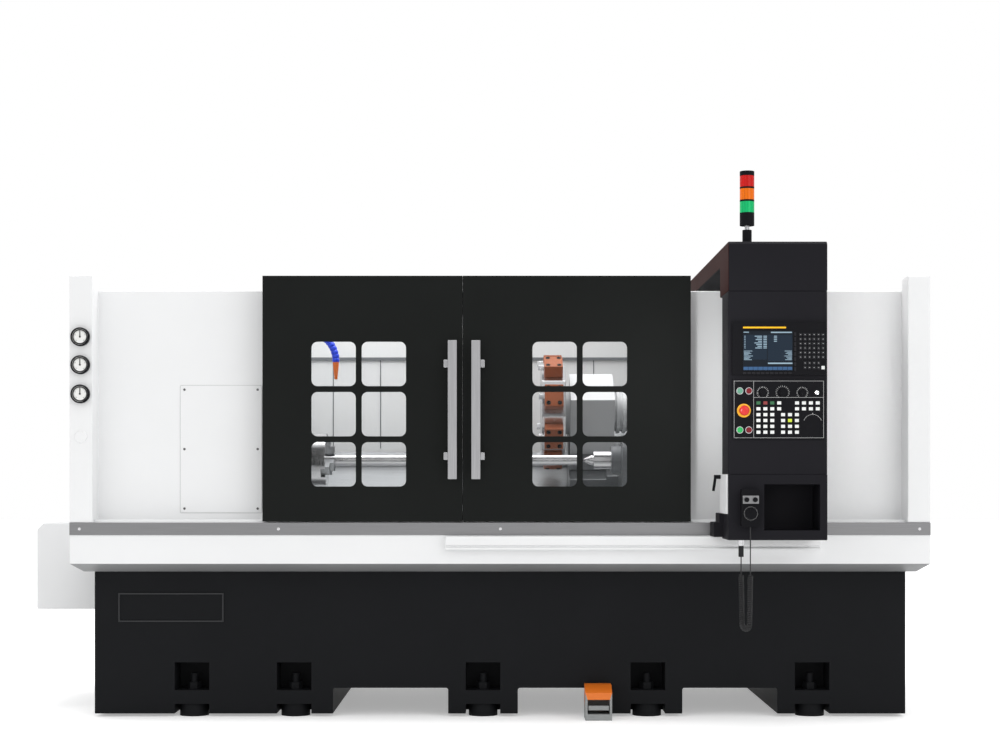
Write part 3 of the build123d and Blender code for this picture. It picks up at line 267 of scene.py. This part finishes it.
def soften(name, width, segments=2):
    """Round the sharp edges of a CAD node for the light to catch."""
    node = nodes[name]
    weld = node.modifiers.new("weld", "WELD")
    weld.merge_threshold = 0.00002
    flat = node.modifiers.new("flat", "DECIMATE")
    flat.decimate_type = "DISSOLVE"
    flat.angle_limit = math.radians(0.5)
    flat.delimit = {"MATERIAL"}
    bevel = node.modifiers.new("bevel", "BEVEL")
    bevel.width = width
    bevel.segments = segments
    bevel.limit_method = "ANGLE"
    bevel.angle_limit = math.radians(35)
    bevel.harden_normals = False
    normals = node.modifiers.new("normals", "WEIGHTED_NORMAL")
    normals.keep_sharp = False
    normals.weight = 80


def near(value, target, slack=0.0006):
    """True where two lengths agree."""
    return abs(value - target) < slack


tray_low, tray_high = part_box("chip_tray")
front_y = tray_low.y
wall_low, wall_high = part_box("rear_cover")
work_back = wall_low.y
left_wall_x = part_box("left_cover")[1].x
right_wall_x = wall_high.x
wall_slack = 0.002
door_depth = 0.14
pan_depth = 0.01
plain_finishes = {
    "base_frame": base_paint, "levelling_feet": base_paint, "trim_strip": stainless_x,
    "console_rail": white_paint, "door_track": white_paint, "access_panel": white_paint,
    "motor_cover": white_paint,
    "left_door_panel": black_paint, "right_door_panel": black_paint, "left_door_windows": glass,
    "right_door_windows": glass, "headstock": iron, "spindle": steel, "chuck_body": steel,
    "chuck_jaw_1": machined, "chuck_jaw_2": machined, "chuck_jaw_3": machined, "work_shaft": steel,
    "saddle": machined, "cross_slide": machined, "turret_disc": steel, "tailstock_quill": steel,
    "live_centre": steel, "console_cabinet": console_paint, "console_shelf": console_paint,
    "clamp_post": white_paint, "clamp_lever": black_plastic, "power_on_button": pale_green,
    "power_off_button": dark_red, "cycle_start_button": green_plastic, "feed_hold_button": dark_red,
    "estop_button": red_plastic, "spindle_override_knob": black_plastic, "feed_override_knob": black_plastic,
    "rapid_override_knob": black_plastic, "pendant_wheel": black_plastic, "foot_switch_treadle": grey_paint,
}
for node_name, finish in plain_finishes.items():
    dress(node_name, [finish])


def tray_finish(centre, normal):
    """Painted shade: grey on the downward-facing bevels of the tray's lower front and ends; stainless in the
    pan.
    """
    if normal.z < -0.3 and abs(normal.z) < 0.98:
        return 1
    if normal.z > 0.9 and centre.z < tray_high.z - pan_depth:
        return 2
    return 0


def inner_finish(centre, normal):
    """Stainless on the walls that face the work area, white outside."""
    inside_x = left_wall_x - wall_slack < centre.x < right_wall_x + wall_slack
    inside_y = front_y + door_depth < centre.y < work_back + wall_slack
    faces_in = normal.y < -0.9 and centre.y > work_back - wall_slack or abs(normal.x) > 0.9
    return 1 if inside_x and inside_y and faces_in else 0


dress("chip_tray", [white_paint, painted_shade_grey, stainless_wall], tray_finish)
for cover in ("left_cover", "right_cover", "rear_cover"):
    dress(cover, [white_paint, stainless_wall], inner_finish)
dress("slant_bed", [machined, stainless_wall], lambda centre, normal: 1 if normal.y < -0.99 else 0)
dress("turret_body", [inner_white])
dress("tailstock_body", [iron, machined], lambda centre, normal: 1 if abs(normal.x) > 0.9 else 0)
block_low, block_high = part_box("tool_blocks")
tool_reach = 0.0295
dress("tool_blocks", [tool_paint, steel],
      lambda centre, normal: 1 if centre.x < block_low.x + tool_reach else 0)
hose_low, hose_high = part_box("coolant_hose")
nozzle_height = 0.089
dress("coolant_hose", [blue_plastic, orange_plastic],
      lambda centre, normal: 1 if centre.z < hose_low.z + nozzle_height else 0)
dress("console_arm", [console_paint, console_side], lambda centre, normal: 1 if abs(normal.x) > 0.9 else 0)
lens_low, lens_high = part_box("tower_lenses")
lens_step = (lens_high.z - lens_low.z) / 3
dress("tower_lenses", [green_lens, amber_lens, red_lens],
      lambda centre, normal: min(2, int((centre.z - lens_low.z) / lens_step)))
stack_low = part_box("tower_stack")[0]
neck_low, neck_high = 0.056, 0.072
dress("tower_stack", [black_plastic, stainless_z],
      lambda centre, normal: 1 if neck_low < centre.z - stack_low.z < neck_high else 0)
switch_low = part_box("foot_switch_body")[0]
hood_level = 0.0915
dress("foot_switch_body", [grey_paint, orange_paint],
      lambda centre, normal: 1 if centre.z > switch_low.z + hood_level else 0)
bar_depth = 0.0101
for side in ("left", "right"):
    bar_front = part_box(f"{side}_door_handle")[0].y
    dress(f"{side}_door_handle", [stainless_z, white_paint],
          lambda centre, normal: 1 if centre.y > bar_front + bar_depth else 0)
gauge_low, gauge_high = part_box("pressure_gauges")
gauge_x = (gauge_low.x + gauge_high.x) / 2
gauge_recess = 0.005
gauge_floor = gauge_low.y + gauge_recess


def gauge_finish(centre, normal):
    """Black case, white sunk face."""
    return 1 if near(centre.y, gauge_floor) and normal.y < -0.9 else 0


dress("pressure_gauges", [black_plastic, dial_white], gauge_finish)
screen_low, screen_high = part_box("screen_unit")
key_front = screen_low.y
dress("screen_unit", [black_plastic, key_grey], lambda centre, normal: 1 if near(centre.y, key_front) else 0)
panel_low, panel_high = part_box("operator_panel")
panel_thickness = 0.008
panel_face = panel_high.y - panel_thickness
stop_low, stop_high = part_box("estop_button")
stop_centre = (stop_low + stop_high) / 2


# Key grid of the operator panel, from its left and bottom edges
key_pitch, key_rise = 0.0292, 0.0247
mode_keys_x, axis_keys_x = panel_low.x + 0.100, panel_low.x + 0.204
keys_z = panel_low.z + 0.023
key_height, key_slack = 0.003, 0.0005
stop_ring_radius, strip_margin = 0.0305, 0.02


def key_place(centre, left):
    """Column and row of a key face, counted from the lower left key of a block."""
    return math.floor((centre.x - left) / key_pitch), math.floor((centre.z - keys_z) / key_rise)


def panel_finish(centre, normal):
    """White keys, three coloured ones, a lime one, a yellow stop ring, bright collars, the rest black."""
    ring = math.hypot(centre.x - stop_centre.x, centre.z - stop_centre.z)
    if ring < stop_ring_radius and centre.y < panel_face - key_slack:
        return 2
    if centre.x < stop_high.x + strip_margin:
        return 3 if centre.y < panel_face - key_slack else 0
    if near(centre.y, panel_face - key_height) and normal.y < -0.9:
        column, row = key_place(centre, mode_keys_x)
        if row == 5 and column in (0, 1, 2):
            return 5 if column == 1 else 4
        return 6 if key_place(centre, axis_keys_x) == (1, 2) else 1
    return 3 if centre.y < panel_face - key_height - key_slack else 0


panel_looks = [black_plastic, key_white, yellow_plastic, steel, key_green, key_red, key_lime]
dress("operator_panel", panel_looks, panel_finish)
plug_low, plug_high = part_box("cord_plug")
ferrule_height = 0.0245
dress("cord_plug", [rubber, steel],
      lambda centre, normal: 1 if centre.z > plug_high.z - ferrule_height else 0)
pendant_low, pendant_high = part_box("pendant_body")
pendant_depth = 0.044
selector_height = 0.003
pendant_face = pendant_high.y - pendant_depth
dress("pendant_body", [black_plastic, stainless_x],
      lambda centre, normal: 1 if near(centre.y, pendant_face - selector_height) else 0)
softened = {
    "base_frame": 0.004, "chip_tray": 0.004, "left_cover": 0.005, "right_cover": 0.005, "rear_cover": 0.003,
    "door_track": 0.003, "motor_cover": 0.006, "left_door_panel": 0.0015, "right_door_panel": 0.0015,
    "left_door_handle": 0.0025, "right_door_handle": 0.0025, "console_arm": 0.004, "console_cabinet": 0.003,
    "console_shelf": 0.003, "console_rail": 0.003, "trim_strip": 0.001, "foot_switch_body": 0.003,
    "foot_switch_treadle": 0.002, "headstock": 0.006, "chuck_body": 0.003, "chuck_jaw_1": 0.002,
    "chuck_jaw_2": 0.002, "chuck_jaw_3": 0.002, "tool_blocks": 0.003, "turret_disc": 0.003,
    "screen_unit": 0.0006, "operator_panel": 0.0005, "tower_stack": 0.0012,
    "tailstock_body": 0.003, "saddle": 0.003, "cross_slide": 0.003, "access_panel": 0.001,
    "spindle_override_knob": 0.001, "feed_override_knob": 0.001, "rapid_override_knob": 0.001,
    "power_on_button": 0.001, "power_off_button": 0.001, "cycle_start_button": 0.001,
    "feed_hold_button": 0.001, "pendant_body": 0.002, "pendant_wheel": 0.0015, "clamp_post": 0.002,
}
for node_name, edge in softened.items():
    soften(node_name, edge)


# Added pieces


def to_object(bm, name, body, material):
    """Turn a built mesh into a piece that rides on a body."""
    bmesh.ops.recalc_face_normals(bm, faces=bm.faces)
    mesh = bpy.data.meshes.new(name)
    bm.to_mesh(mesh)
    bm.free()
    piece = bpy.data.objects.new(name, mesh)
    bpy.context.scene.collection.objects.link(piece)
    mesh.materials.append(material)
    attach(piece, body)
    return piece


def add_box(bm, low, high):
    """Box between two corners."""
    size = Vector(high) - Vector(low)
    middle = (Vector(low) + Vector(high)) / 2
    bmesh.ops.create_cube(bm, size=1, matrix=Matrix.Translation(middle) @ Matrix.Diagonal((*size, 1)))


def add_turned(bm, centre, profile, segments=20):
    """Turned shape that stands towards -Y: (radius, height) pairs from the rim to the middle."""
    rings = []
    for radius, height in profile:
        ring = []
        for step in range(segments):
            angle = 2 * math.pi * step / segments
            offset = Vector((radius * math.cos(angle), -height, radius * math.sin(angle)))
            ring.append(bm.verts.new(Vector(centre) + offset))
        rings.append(ring)
    for first, second in zip(rings, rings[1:]):
        for step in range(segments):
            after = (step + 1) % segments
            bm.faces.new((first[step], first[after], second[after], second[step]))
    bm.faces.new(rings[0])
    bm.faces.new(rings[-1])


def screws(name, places, radius, body, rise=0.55, material=steel):
    """Group of domed screw heads with a round socket."""
    bm = bmesh.new()
    height = radius * rise
    profile = [(radius, 0), (radius, height * 0.45), (radius * 0.82, height * 0.9), (radius * 0.6, height),
               (radius * 0.48, height), (radius * 0.44, height * 0.4), (radius * 0.05, height * 0.35)]
    for place in places:
        add_turned(bm, place, profile)
    return to_object(bm, name, body, material)


def bars(name, boxes, body, material):
    """Group of thin raised bars."""
    bm = bmesh.new()
    for low, high in boxes:
        add_box(bm, low, high)
    return to_object(bm, name, body, material)


trim_low, trim_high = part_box("trim_strip")
trim_width = trim_high.x - trim_low.x
trim_screw_shares = (0.0116, 0.2427, 0.5005, 0.75, 0.9872)
screws("trim_screws", [(trim_low.x + share * trim_width, trim_low.y, (trim_low.z + trim_high.z) / 2)
                       for share in trim_screw_shares], 0.0065, "machine", 0.2)
access_low, access_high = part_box("access_panel")
access_inset = 0.018
access_rows = (access_low.z + access_inset, (access_low.z + access_high.z) / 2, access_high.z - access_inset)
screws("access_screws", [(x, access_low.y, z) for z in access_rows
                         for x in (access_low.x + access_inset, access_high.x - access_inset)],
       0.0055, "machine", 0.4, dark_screw)

# Grey bars round the access panel: painted shadow of the gap between the panel and the cover.
access_edge = 0.0025
access_line_front = access_high.y - 0.001
access_lines = []
for x in (access_low.x - access_edge, access_high.x):
    access_lines.append(((x, access_line_front, access_low.z),
                         (x + access_edge, access_high.y, access_high.z)))
for z in (access_low.z - access_edge, access_high.z):
    access_lines.append(((access_low.x, access_line_front, z),
                         (access_high.x, access_high.y, z + access_edge)))
bars("access_gap_shadow", access_lines, "machine", gap_shadow_paint)

# Bare plate on the base front
base_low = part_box("base_frame")[0]
plate_left, plate_right = base_low.x + 0.107, base_low.x + 0.578
plate_low, plate_high = 0.425, 0.554
plate_face = base_low.y
plate_rim = 0.006
rim_proud, plate_proud = 0.006, 0.002
frame_boxes = []
for x in ((plate_left, plate_left + plate_rim), (plate_right - plate_rim, plate_right)):
    frame_boxes.append(((x[0], plate_face - rim_proud, plate_low + plate_rim),
                        (x[1], plate_face, plate_high - plate_rim)))
for z in ((plate_low, plate_low + plate_rim), (plate_high - plate_rim, plate_high)):
    frame_boxes.append(((plate_left, plate_face - rim_proud, z[0]), (plate_right, plate_face, z[1])))
bars("base_plate_rim", frame_boxes, "machine", plate_paint)
bars("base_plate", [((plate_left + plate_rim, plate_face - plate_proud, plate_low + plate_rim),
                     (plate_right - plate_rim, plate_face, plate_high - plate_rim))],
     "machine", base_paint)

# Gauge scale marks and bezel rings
gauge_heights = (1.690, 1.567, 1.439)
gauge_mark_count = 21
long_mark_inner, short_mark_inner, mark_outer = 0.02, 0.023, 0.027
long_mark_thick, short_mark_thick = 0.0016, 0.001
bezel_steps = 64
bezel_inner, bezel_outer, bezel_thick = 0.028, 0.0335, 0.0036
mark_depth = 0.0004


def add_mark(bm, height, angle, inner, outer, thick):
    """Radial mark on a gauge face."""
    middle = (inner + outer) / 2
    place = Vector((gauge_x + middle * math.cos(angle), gauge_floor - mark_depth / 2,
                    height + middle * math.sin(angle)))
    turn = Matrix.Rotation(-angle, 4, "Y")
    size = Matrix.Diagonal((outer - inner, mark_depth, thick, 1))
    bmesh.ops.create_cube(bm, size=1, matrix=Matrix.Translation(place) @ turn @ size)


gauge_marks = bmesh.new()
for height in gauge_heights:
    for step in range(gauge_mark_count):
        angle = math.radians(225 - 270 * step / (gauge_mark_count - 1))
        long_mark = step % 5 == 0
        inner = long_mark_inner if long_mark else short_mark_inner
        thick = long_mark_thick if long_mark else short_mark_thick
        add_mark(gauge_marks, height, angle, inner, mark_outer, thick)
    for step in range(bezel_steps):
        angle = 2 * math.pi * step / bezel_steps
        add_mark(gauge_marks, height, angle, bezel_inner, bezel_outer, bezel_thick)
to_object(gauge_marks, "gauge_marks", "machine", rubber)

# Back wall seams inside the work area, and across their tops a dark strip of painted shadow that stands for
# the shadow line on the back wall
seam_shares = (0.074, 0.174, 0.305, 0.47, 0.625, 0.785)
seam_half, seam_depth = 0.0025, 0.002
shadow_strip_low, shadow_strip_high = 1.68, 1.695
shadow_strip_depth, shadow_strip_gap = 0.012, 0.002
seam_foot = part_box("slant_bed")[1].z + 0.02
seam_and_shadow_boxes = []
for share in seam_shares:
    x = wall_low.x + share * (wall_high.x - wall_low.x)
    seam_and_shadow_boxes.append(((x - seam_half, work_back - seam_depth, seam_foot),
                       (x + seam_half, work_back, shadow_strip_low)))
# Painted shadow: this dark strip stands for the shadow line along the back wall.
seam_and_shadow_boxes.append(((wall_low.x + shadow_strip_gap, work_back - shadow_strip_depth, shadow_strip_low),
                   (wall_high.x - shadow_strip_gap, work_back, shadow_strip_high)))
bars("wall_seams_and_shadow_strip", seam_and_shadow_boxes, "machine", iron)

# Bolts on the tool holders
turret_axis_y = (block_low.y + block_high.y) / 2
turret_axis_z = (block_low.z + block_high.z) / 2
holder_left = block_low.x + 0.030
holder_face = 0.280
station_count = 8
first_station = 30
bolt_inset, bolt_half = 0.018, 0.038
bolts = bmesh.new()
bolt_profile = [(0.011, 0), (0.011, 0.0015), (0.009, 0.002), (0.007, 0.002), (0.006, 0.0005), (0.001, 0.0004)]
for station in range(station_count):
    turn = Matrix.Rotation(math.radians(first_station + 360 * station / station_count), 4, "X")
    frame_turn = Matrix.Translation((0, turret_axis_y, turret_axis_z)) @ turn
    holder_bolts = bmesh.new()
    for x in (holder_left + bolt_inset, block_high.x - bolt_inset):
        for z in (-bolt_half, bolt_half):
            add_turned(holder_bolts, (x, -holder_face, z), bolt_profile, 12)
    holder_bolts.transform(frame_turn)
    spare = bpy.data.meshes.new("spare")
    holder_bolts.to_mesh(spare)
    bolts.from_mesh(spare)
    bpy.data.meshes.remove(spare)
    holder_bolts.free()
to_object(bolts, "holder_bolts", "turret", rubber)

# Domed cap of the emergency stop
stop_cap = bmesh.new()
stop_middle = ((stop_low.x + stop_high.x) / 2, stop_low.y, (stop_low.z + stop_high.z) / 2)
add_turned(stop_cap, stop_middle, [(0.0206, 0), (0.0203, 0.002), (0.019, 0.004), (0.016, 0.0056),
                                   (0.01, 0.0066), (0.0005, 0.007)], 32)
for face in stop_cap.faces:
    face.smooth = True
to_object(stop_cap, "estop_cap", "estop", red_plastic)

# Round beads of the coolant hose
hose_flange, hose_drop = 0.012, 0.04
hose_start = hose_low.x + hose_flange
hose_middle = (hose_low.y + hose_high.y) / 2
hose_level = hose_high.z - hose_drop
hose_bend = 0.13
bead_radius = 0.0178
bead_count = 18
hose_length = hose_bend * (1 + math.pi / 2)
beads = bmesh.new()
for number in range(1, bead_count + 1):
    distance = hose_length * number / bead_count
    angle = max(0.0, distance / hose_bend - 1)
    bead_x = hose_start + min(distance, hose_bend) + hose_bend * math.sin(angle)
    bead_z = hose_level - hose_bend * (1 - math.cos(angle))
    place = Matrix.Translation((bead_x, hose_middle, bead_z))
    bmesh.ops.create_uvsphere(beads, u_segments=20, v_segments=12, radius=bead_radius, matrix=place)
for face in beads.faces:
    face.smooth = True
to_object(beads, "hose_beads", "machine", blue_plastic)

# Display
glass_left, glass_right = screen_low.x + 0.045, screen_low.x + 0.256
glass_bottom, glass_top = screen_low.z + 0.017, screen_low.z + 0.186
unit_face = screen_high.y - 0.014
glass_floor = unit_face + 0.004
glass_width = glass_right - glass_left
glass_height = glass_top - glass_bottom
display_depth, field_depth, text_depth = 0.001, 0.0013, 0.0016


def screen_box(x_share, z_share, depth):
    """Flat box on the display from shares of its width and height."""
    left, right = (glass_left + share * glass_width for share in x_share)
    bottom, top = (glass_bottom + share * glass_height for share in z_share)
    return (left, glass_floor - depth, bottom), (right, glass_floor, top)


bars("display", [screen_box((0.003, 0.997), (0.003, 0.997), display_depth)],
     "console", screen_blue)
field_shares = [((0.01, 0.48), (0.28, 0.9)), ((0.5, 0.99), (0.24, 0.9))]
bars("display_fields", [screen_box(x, z, field_depth) for x, z in field_shares],
     "console", screen_panel)
key_fields = [((0.01 + 0.0985 * column, 0.1 + 0.0985 * column), (0.02, 0.1)) for column in range(10)]
bars("display_keys", [screen_box(x, z, field_depth) for x, z in key_fields],
     "console", screen_keys)
line_shares = (0.45, 0.3, 0.38, 0.5, 0.26, 0.42, 0.34, 0.48)
text_boxes = [screen_box((0.01, 0.12), (0.955, 0.975), text_depth),
              screen_box((0.56, 0.98), (0.945, 0.975), text_depth),
              screen_box((0.5, 0.99), (0.17, 0.205), text_depth)]
for row, share in enumerate(line_shares):
    z = 0.56 + 0.042 * row
    text_boxes.append(screen_box((0.03, 0.05), (z, z + 0.02), text_depth))
    text_boxes.append(screen_box((0.38 - share * 0.3, 0.38), (z, z + 0.02), text_depth))
    text_boxes.append(screen_box((0.41, 0.48), (z, z + 0.02), text_depth))
    low_z = 0.27 + 0.031 * row
    text_boxes.append(screen_box((0.02, 0.02 + share * 0.35), (low_z, low_z + 0.014), text_depth))
    text_boxes.append(screen_box((0.98 - share * 0.3, 0.98), (low_z, low_z + 0.014), text_depth))
    if row > 3:
        text_boxes.append(screen_box((0.62, 0.68), (z, z + 0.02), text_depth))
bars("display_text", text_boxes, "console", screen_text)
yellow_z = glass_top + 0.010
yellow_proud, yellow_height, yellow_share = 0.0008, 0.007, 0.86
bars("screen_yellow_bar", [((glass_left, unit_face - yellow_proud, yellow_z),
                            (glass_left + yellow_share * glass_width, unit_face, yellow_z + yellow_height))],
     "console", screen_bar)

# Keypad marks: a plain dash on each key
pad_left, pad_pitch, pad_key = screen_low.x + 0.281, 0.019, 0.0133
pad_bottom, cursor_bottom = screen_low.z + 0.068, screen_low.z + 0.024
pad_places = [(column, row, pad_left, pad_bottom) for column in range(6) for row in range(6)]
pad_places += [(column, row, pad_left + pad_pitch, cursor_bottom) for column in range(4) for row in range(2)]
dash_half_width, dash_half_height, dash_proud = 0.0022, 0.001, 0.0002
dashes = []
for column, row, left, bottom in pad_places:
    x = left + column * pad_pitch + pad_key / 2
    z = bottom + row * pad_pitch + pad_key / 2
    dashes.append(((x - dash_half_width, key_front - dash_proud, z - dash_half_height),
                   (x + dash_half_width, key_front, z + dash_half_height)))
bars("keypad_marks", dashes, "console", mark_white)
white_x = pad_left + 5 * pad_pitch
white_low = cursor_bottom - 0.001
bars("white_key", [((white_x, key_front, white_low),
                    (white_x + pad_key, unit_face, cursor_bottom + pad_key))],
     "console", key_white)

# Operator panel lines, and the ring of marks round the pendant wheel
line = 0.0012
proud = 0.0004
panel_inset = 0.006
strip_x = panel_low.x + 0.0885
dial_line_z = panel_high.z - 0.0755
outline = []
edges_x = (panel_low.x + panel_inset, strip_x, panel_high.x - panel_inset)
for x in edges_x:
    outline.append(((x - line / 2, panel_face - proud, panel_low.z + panel_inset),
                    (x + line / 2, panel_face, panel_high.z - panel_inset)))
for z in (panel_low.z + panel_inset, panel_high.z - panel_inset):
    outline.append(((edges_x[0], panel_face - proud, z - line / 2), (edges_x[2], panel_face, z + line / 2)))
outline.append(((strip_x, panel_face - proud, dial_line_z - line / 2),
                (edges_x[2], panel_face, dial_line_z + line / 2)))
panel_marks = bmesh.new()
for low, high in outline:
    add_box(panel_marks, low, high)


def add_tick(bm, centre, radius, degrees, length, width):
    """Short radial mark on the operator panel or the pendant."""
    angle = math.radians(degrees)
    place = centre + Vector((radius * math.cos(angle), 0, radius * math.sin(angle)))
    turn = Matrix.Rotation(-angle, 4, "Y")
    size = Matrix.Diagonal((length, proud, width, 1))
    bmesh.ops.create_cube(bm, size=1, matrix=Matrix.Translation(place) @ turn @ size)


dial_radii = {"spindle_override_knob": 0.023, "feed_override_knob": 0.027, "rapid_override_knob": 0.022}
mark_count = 17
tick_length, tick_width = 0.006, 0.0016
for name, radius in dial_radii.items():
    low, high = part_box(name)
    centre = Vector(((low.x + high.x) / 2, panel_face - proud / 2, (low.z + high.z) / 2))
    for step in range(mark_count):
        degrees = 225 - 270 * step / (mark_count - 1)
        add_tick(panel_marks, centre, radius, degrees, tick_length, tick_width)
arc_radius = 0.039
arc_steps = 24
arc_piece = 0.0042
pointer_gap, pointer_length, pointer_width = 0.004, 0.004, 0.003
arc_centre = Vector((panel_low.x + 0.338, panel_face - proud / 2, panel_low.z + 0.066))
for step in range(arc_steps + 1):
    add_tick(panel_marks, arc_centre, arc_radius, 23 + 134 * step / arc_steps, line, arc_piece)
add_tick(panel_marks, arc_centre, arc_radius + pointer_gap, 90, pointer_length, pointer_width)
wheel_low, wheel_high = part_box("pendant_wheel")
wheel_ring = Vector(((wheel_low.x + wheel_high.x) / 2, pendant_face - proud / 2,
                     (wheel_low.z + wheel_high.z) / 2))
wheel_marks = 36
wheel_gap, wheel_mark_length, wheel_mark_width = 0.003, 0.003, 0.0012
wheel_mark_radius = (wheel_high.x - wheel_low.x) / 2 + wheel_gap
for step in range(wheel_marks):
    degrees = 360 * step / wheel_marks
    add_tick(panel_marks, wheel_ring, wheel_mark_radius, degrees, wheel_mark_length, wheel_mark_width)
to_object(panel_marks, "panel_marks", "console", mark_white)

# Pendant cord
plug_end = (plug_low + plug_high) / 2
plug_end.z = plug_low.z
cord_start = (pendant_low + pendant_high) / 2
cord_start.z = pendant_low.z
cord_diameter = 0.005
curl_top = 0.663
curl_floor = 0.432
curl_bend = 0.030
coil_radius = 0.010
coil_pitch = 0.0092
points_per_turn = 14
lead_in = Vector((0, 0, 0.012))


def spline_curve(name, points):
    """Curve object with one open NURBS spline through the given points."""
    curve = bpy.data.curves.new(name, "CURVE")
    curve.dimensions = "3D"
    spline = curve.splines.new("NURBS")
    spline.points.add(len(points) - 1)
    for point, place in zip(spline.points, points):
        point.co = (*place, 1)
    spline.order_u = 3
    spline.use_endpoint_u = True
    piece = bpy.data.objects.new(name, curve)
    bpy.context.scene.collection.objects.link(piece)
    return piece


def points_along(piece):
    """Points read along the spline of a bare curve."""
    bpy.context.view_layer.update()
    mesh = bpy.data.meshes.new_from_object(piece.evaluated_get(bpy.context.evaluated_depsgraph_get()))
    points = [vertex.co.copy() for vertex in mesh.vertices]
    bpy.data.meshes.remove(mesh)
    return points


curl_middle = (cord_start.x + plug_end.x) / 2
curl_half = 0.013
curl_route = [
    Vector((cord_start.x, cord_start.y, curl_top)),
    Vector((curl_middle + curl_half, cord_start.y, curl_floor + 2 * curl_bend)),
    Vector((curl_middle + curl_half, cord_start.y, curl_floor)),
    Vector((curl_middle - curl_half, plug_end.y, curl_floor)),
    Vector((curl_middle - curl_half, plug_end.y, curl_floor + 2 * curl_bend)),
    Vector((plug_end.x, plug_end.y, curl_top)),
]
route_piece = spline_curve("curl_route", curl_route)
route_piece.data.resolution_u = 24
route = points_along(route_piece)
bpy.data.objects.remove(route_piece)

distances = [0.0]
for first, second in zip(route, route[1:]):
    distances.append(distances[-1] + (second - first).length)
turns = round(distances[-1] / coil_pitch)
coil_points = turns * points_per_turn
across = (plug_end - cord_start).cross(Vector((0, 0, 1))).normalized()
cord_points = [cord_start, cord_start.lerp(curl_route[0], 0.5), curl_route[0] + lead_in]
index = 0
for step in range(coil_points + 1):
    along = distances[-1] * step / coil_points
    while index < len(route) - 2 and distances[index + 1] < along:
        index += 1
    share = (along - distances[index]) / (distances[index + 1] - distances[index])
    place = route[index].lerp(route[index + 1], share)
    tangent = (route[index + 1] - route[index]).normalized()
    side = tangent.cross(across).normalized()
    angle = 2 * math.pi * step / points_per_turn
    ease = min(1.0, step / points_per_turn, (coil_points - step) / points_per_turn)
    radius = coil_radius * ease
    cord_points.append(place + across * radius * math.cos(angle) + side * radius * math.sin(angle))
cord_points += [curl_route[-1] + lead_in, curl_route[-1].lerp(plug_end, 0.5), plug_end]
pendant_cord = spline_curve("pendant_cord", cord_points)
pendant_cord.data.resolution_u = 2
cord_route = points_along(pendant_cord)
pendant_cord.data.bevel_depth = cord_diameter / 2
pendant_cord.data.bevel_resolution = 2
pendant_cord.data.materials.append(cord_rubber)
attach(pendant_cord, "console")
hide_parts("pendant_lead", "cord_curl", "socket_lead")

# Floor and backdrop
floor_mesh = bmesh.new()
floor_half = 40.0
floor_corners = [(-floor_half, -floor_half), (floor_half, -floor_half),
                 (floor_half, floor_half), (-floor_half, floor_half)]
floor_mesh.faces.new([floor_mesh.verts.new((x, y, 0)) for x, y in floor_corners])
floor_data = bpy.data.meshes.new("floor")
floor_mesh.to_mesh(floor_data)
floor_mesh.free()
floor = bpy.data.objects.new("floor", floor_data)
bpy.context.scene.collection.objects.link(floor)
floor_paint, floor_tree, floor_shader = new_material("floor_paint")
floor_shader.inputs["Base Color"].default_value = (0.9, 0.9, 0.9, 1)
floor_shader.inputs["Roughness"].default_value = 0.7
floor_shader.inputs["Specular IOR Level"].default_value = 0.1
floor_data.materials.append(floor_paint)

# World light and lamps
scene = bpy.context.scene
world = bpy.data.worlds.new("studio")
scene.world = world
world.use_nodes = True
background = world.node_tree.nodes["Background"]
background.inputs["Color"].default_value = (1, 1, 1, 1)


def seen_directly(tree):
    """1 for what the camera sees straight, in a mirror or through glass, else 0."""
    path = add_node(tree, "ShaderNodeLightPath")
    total = path.outputs["Is Camera Ray"]
    for name in ("Is Glossy Ray", "Is Transmission Ray"):
        larger = add_node(tree, "ShaderNodeMath", operation="MAXIMUM")
        tree.links.new(total, larger.inputs[0])
        tree.links.new(path.outputs[name], larger.inputs[1])
        total = larger.outputs["Value"]
    return total


world_level = map_range(world.node_tree, seen_directly(world.node_tree), 0.97, 1.0)
world.node_tree.links.new(world_level, background.inputs["Strength"])
floor_level = map_range(floor_tree, seen_directly(floor_tree), 0.0, 0.36)
floor_shader.inputs["Emission Color"].default_value = (1, 1, 1, 1)
floor_tree.links.new(floor_level, floor_shader.inputs["Emission Strength"])


def area_lamp(name, place, target, size, power, spread=180):
    """Soft rectangular lamp aimed at a point."""
    lamp = bpy.data.lights.new(name, "AREA")
    lamp.shape = "RECTANGLE"
    lamp.size, lamp.size_y = size
    lamp.energy = power
    lamp.spread = math.radians(spread)
    piece = bpy.data.objects.new(name, lamp)
    piece.location = place
    piece.rotation_euler = (Vector(target) - Vector(place)).to_track_quat("-Z", "Y").to_euler()
    piece.visible_camera = False
    scene.collection.objects.link(piece)


area_lamp("key", (-3.5, -6.5, 5.0), (0, 0, 1), (4, 3), 22)
area_lamp("fill", (4.5, -6.0, 3.5), (0, 0, 1), (4, 3), 55)
area_lamp("top", (0, 0.3, 5.5), (0, 0.2, 0), (6, 3), 220)
area_lamp("side", (-0.3, -4.6, 1.7), (1.07, -0.44, 1.48), (0.5, 0.6), 0.7, 15)
area_lamp("right", (1.9, -5.5, 1.6), (1.66, -0.44, 1.5), (0.25, 0.7), 0.12, 8)
area_lamp("work", (-0.5, -0.15, 2.9), (-0.5, work_back, 1.5), (1.4, 0.3), 6, 110)

# Camera
camera_data = bpy.data.cameras.new("camera")
camera_data.sensor_width = 36
camera_data.lens = 68.7
camera_data.shift_y = 0.104
camera = bpy.data.objects.new("camera", camera_data)
camera.location = (0.1325, -8.966, 1.065)
camera.rotation_euler = (math.radians(90), 0, 0)
scene.collection.objects.link(camera)
scene.camera = camera
scene.view_settings.view_transform = "Standard"
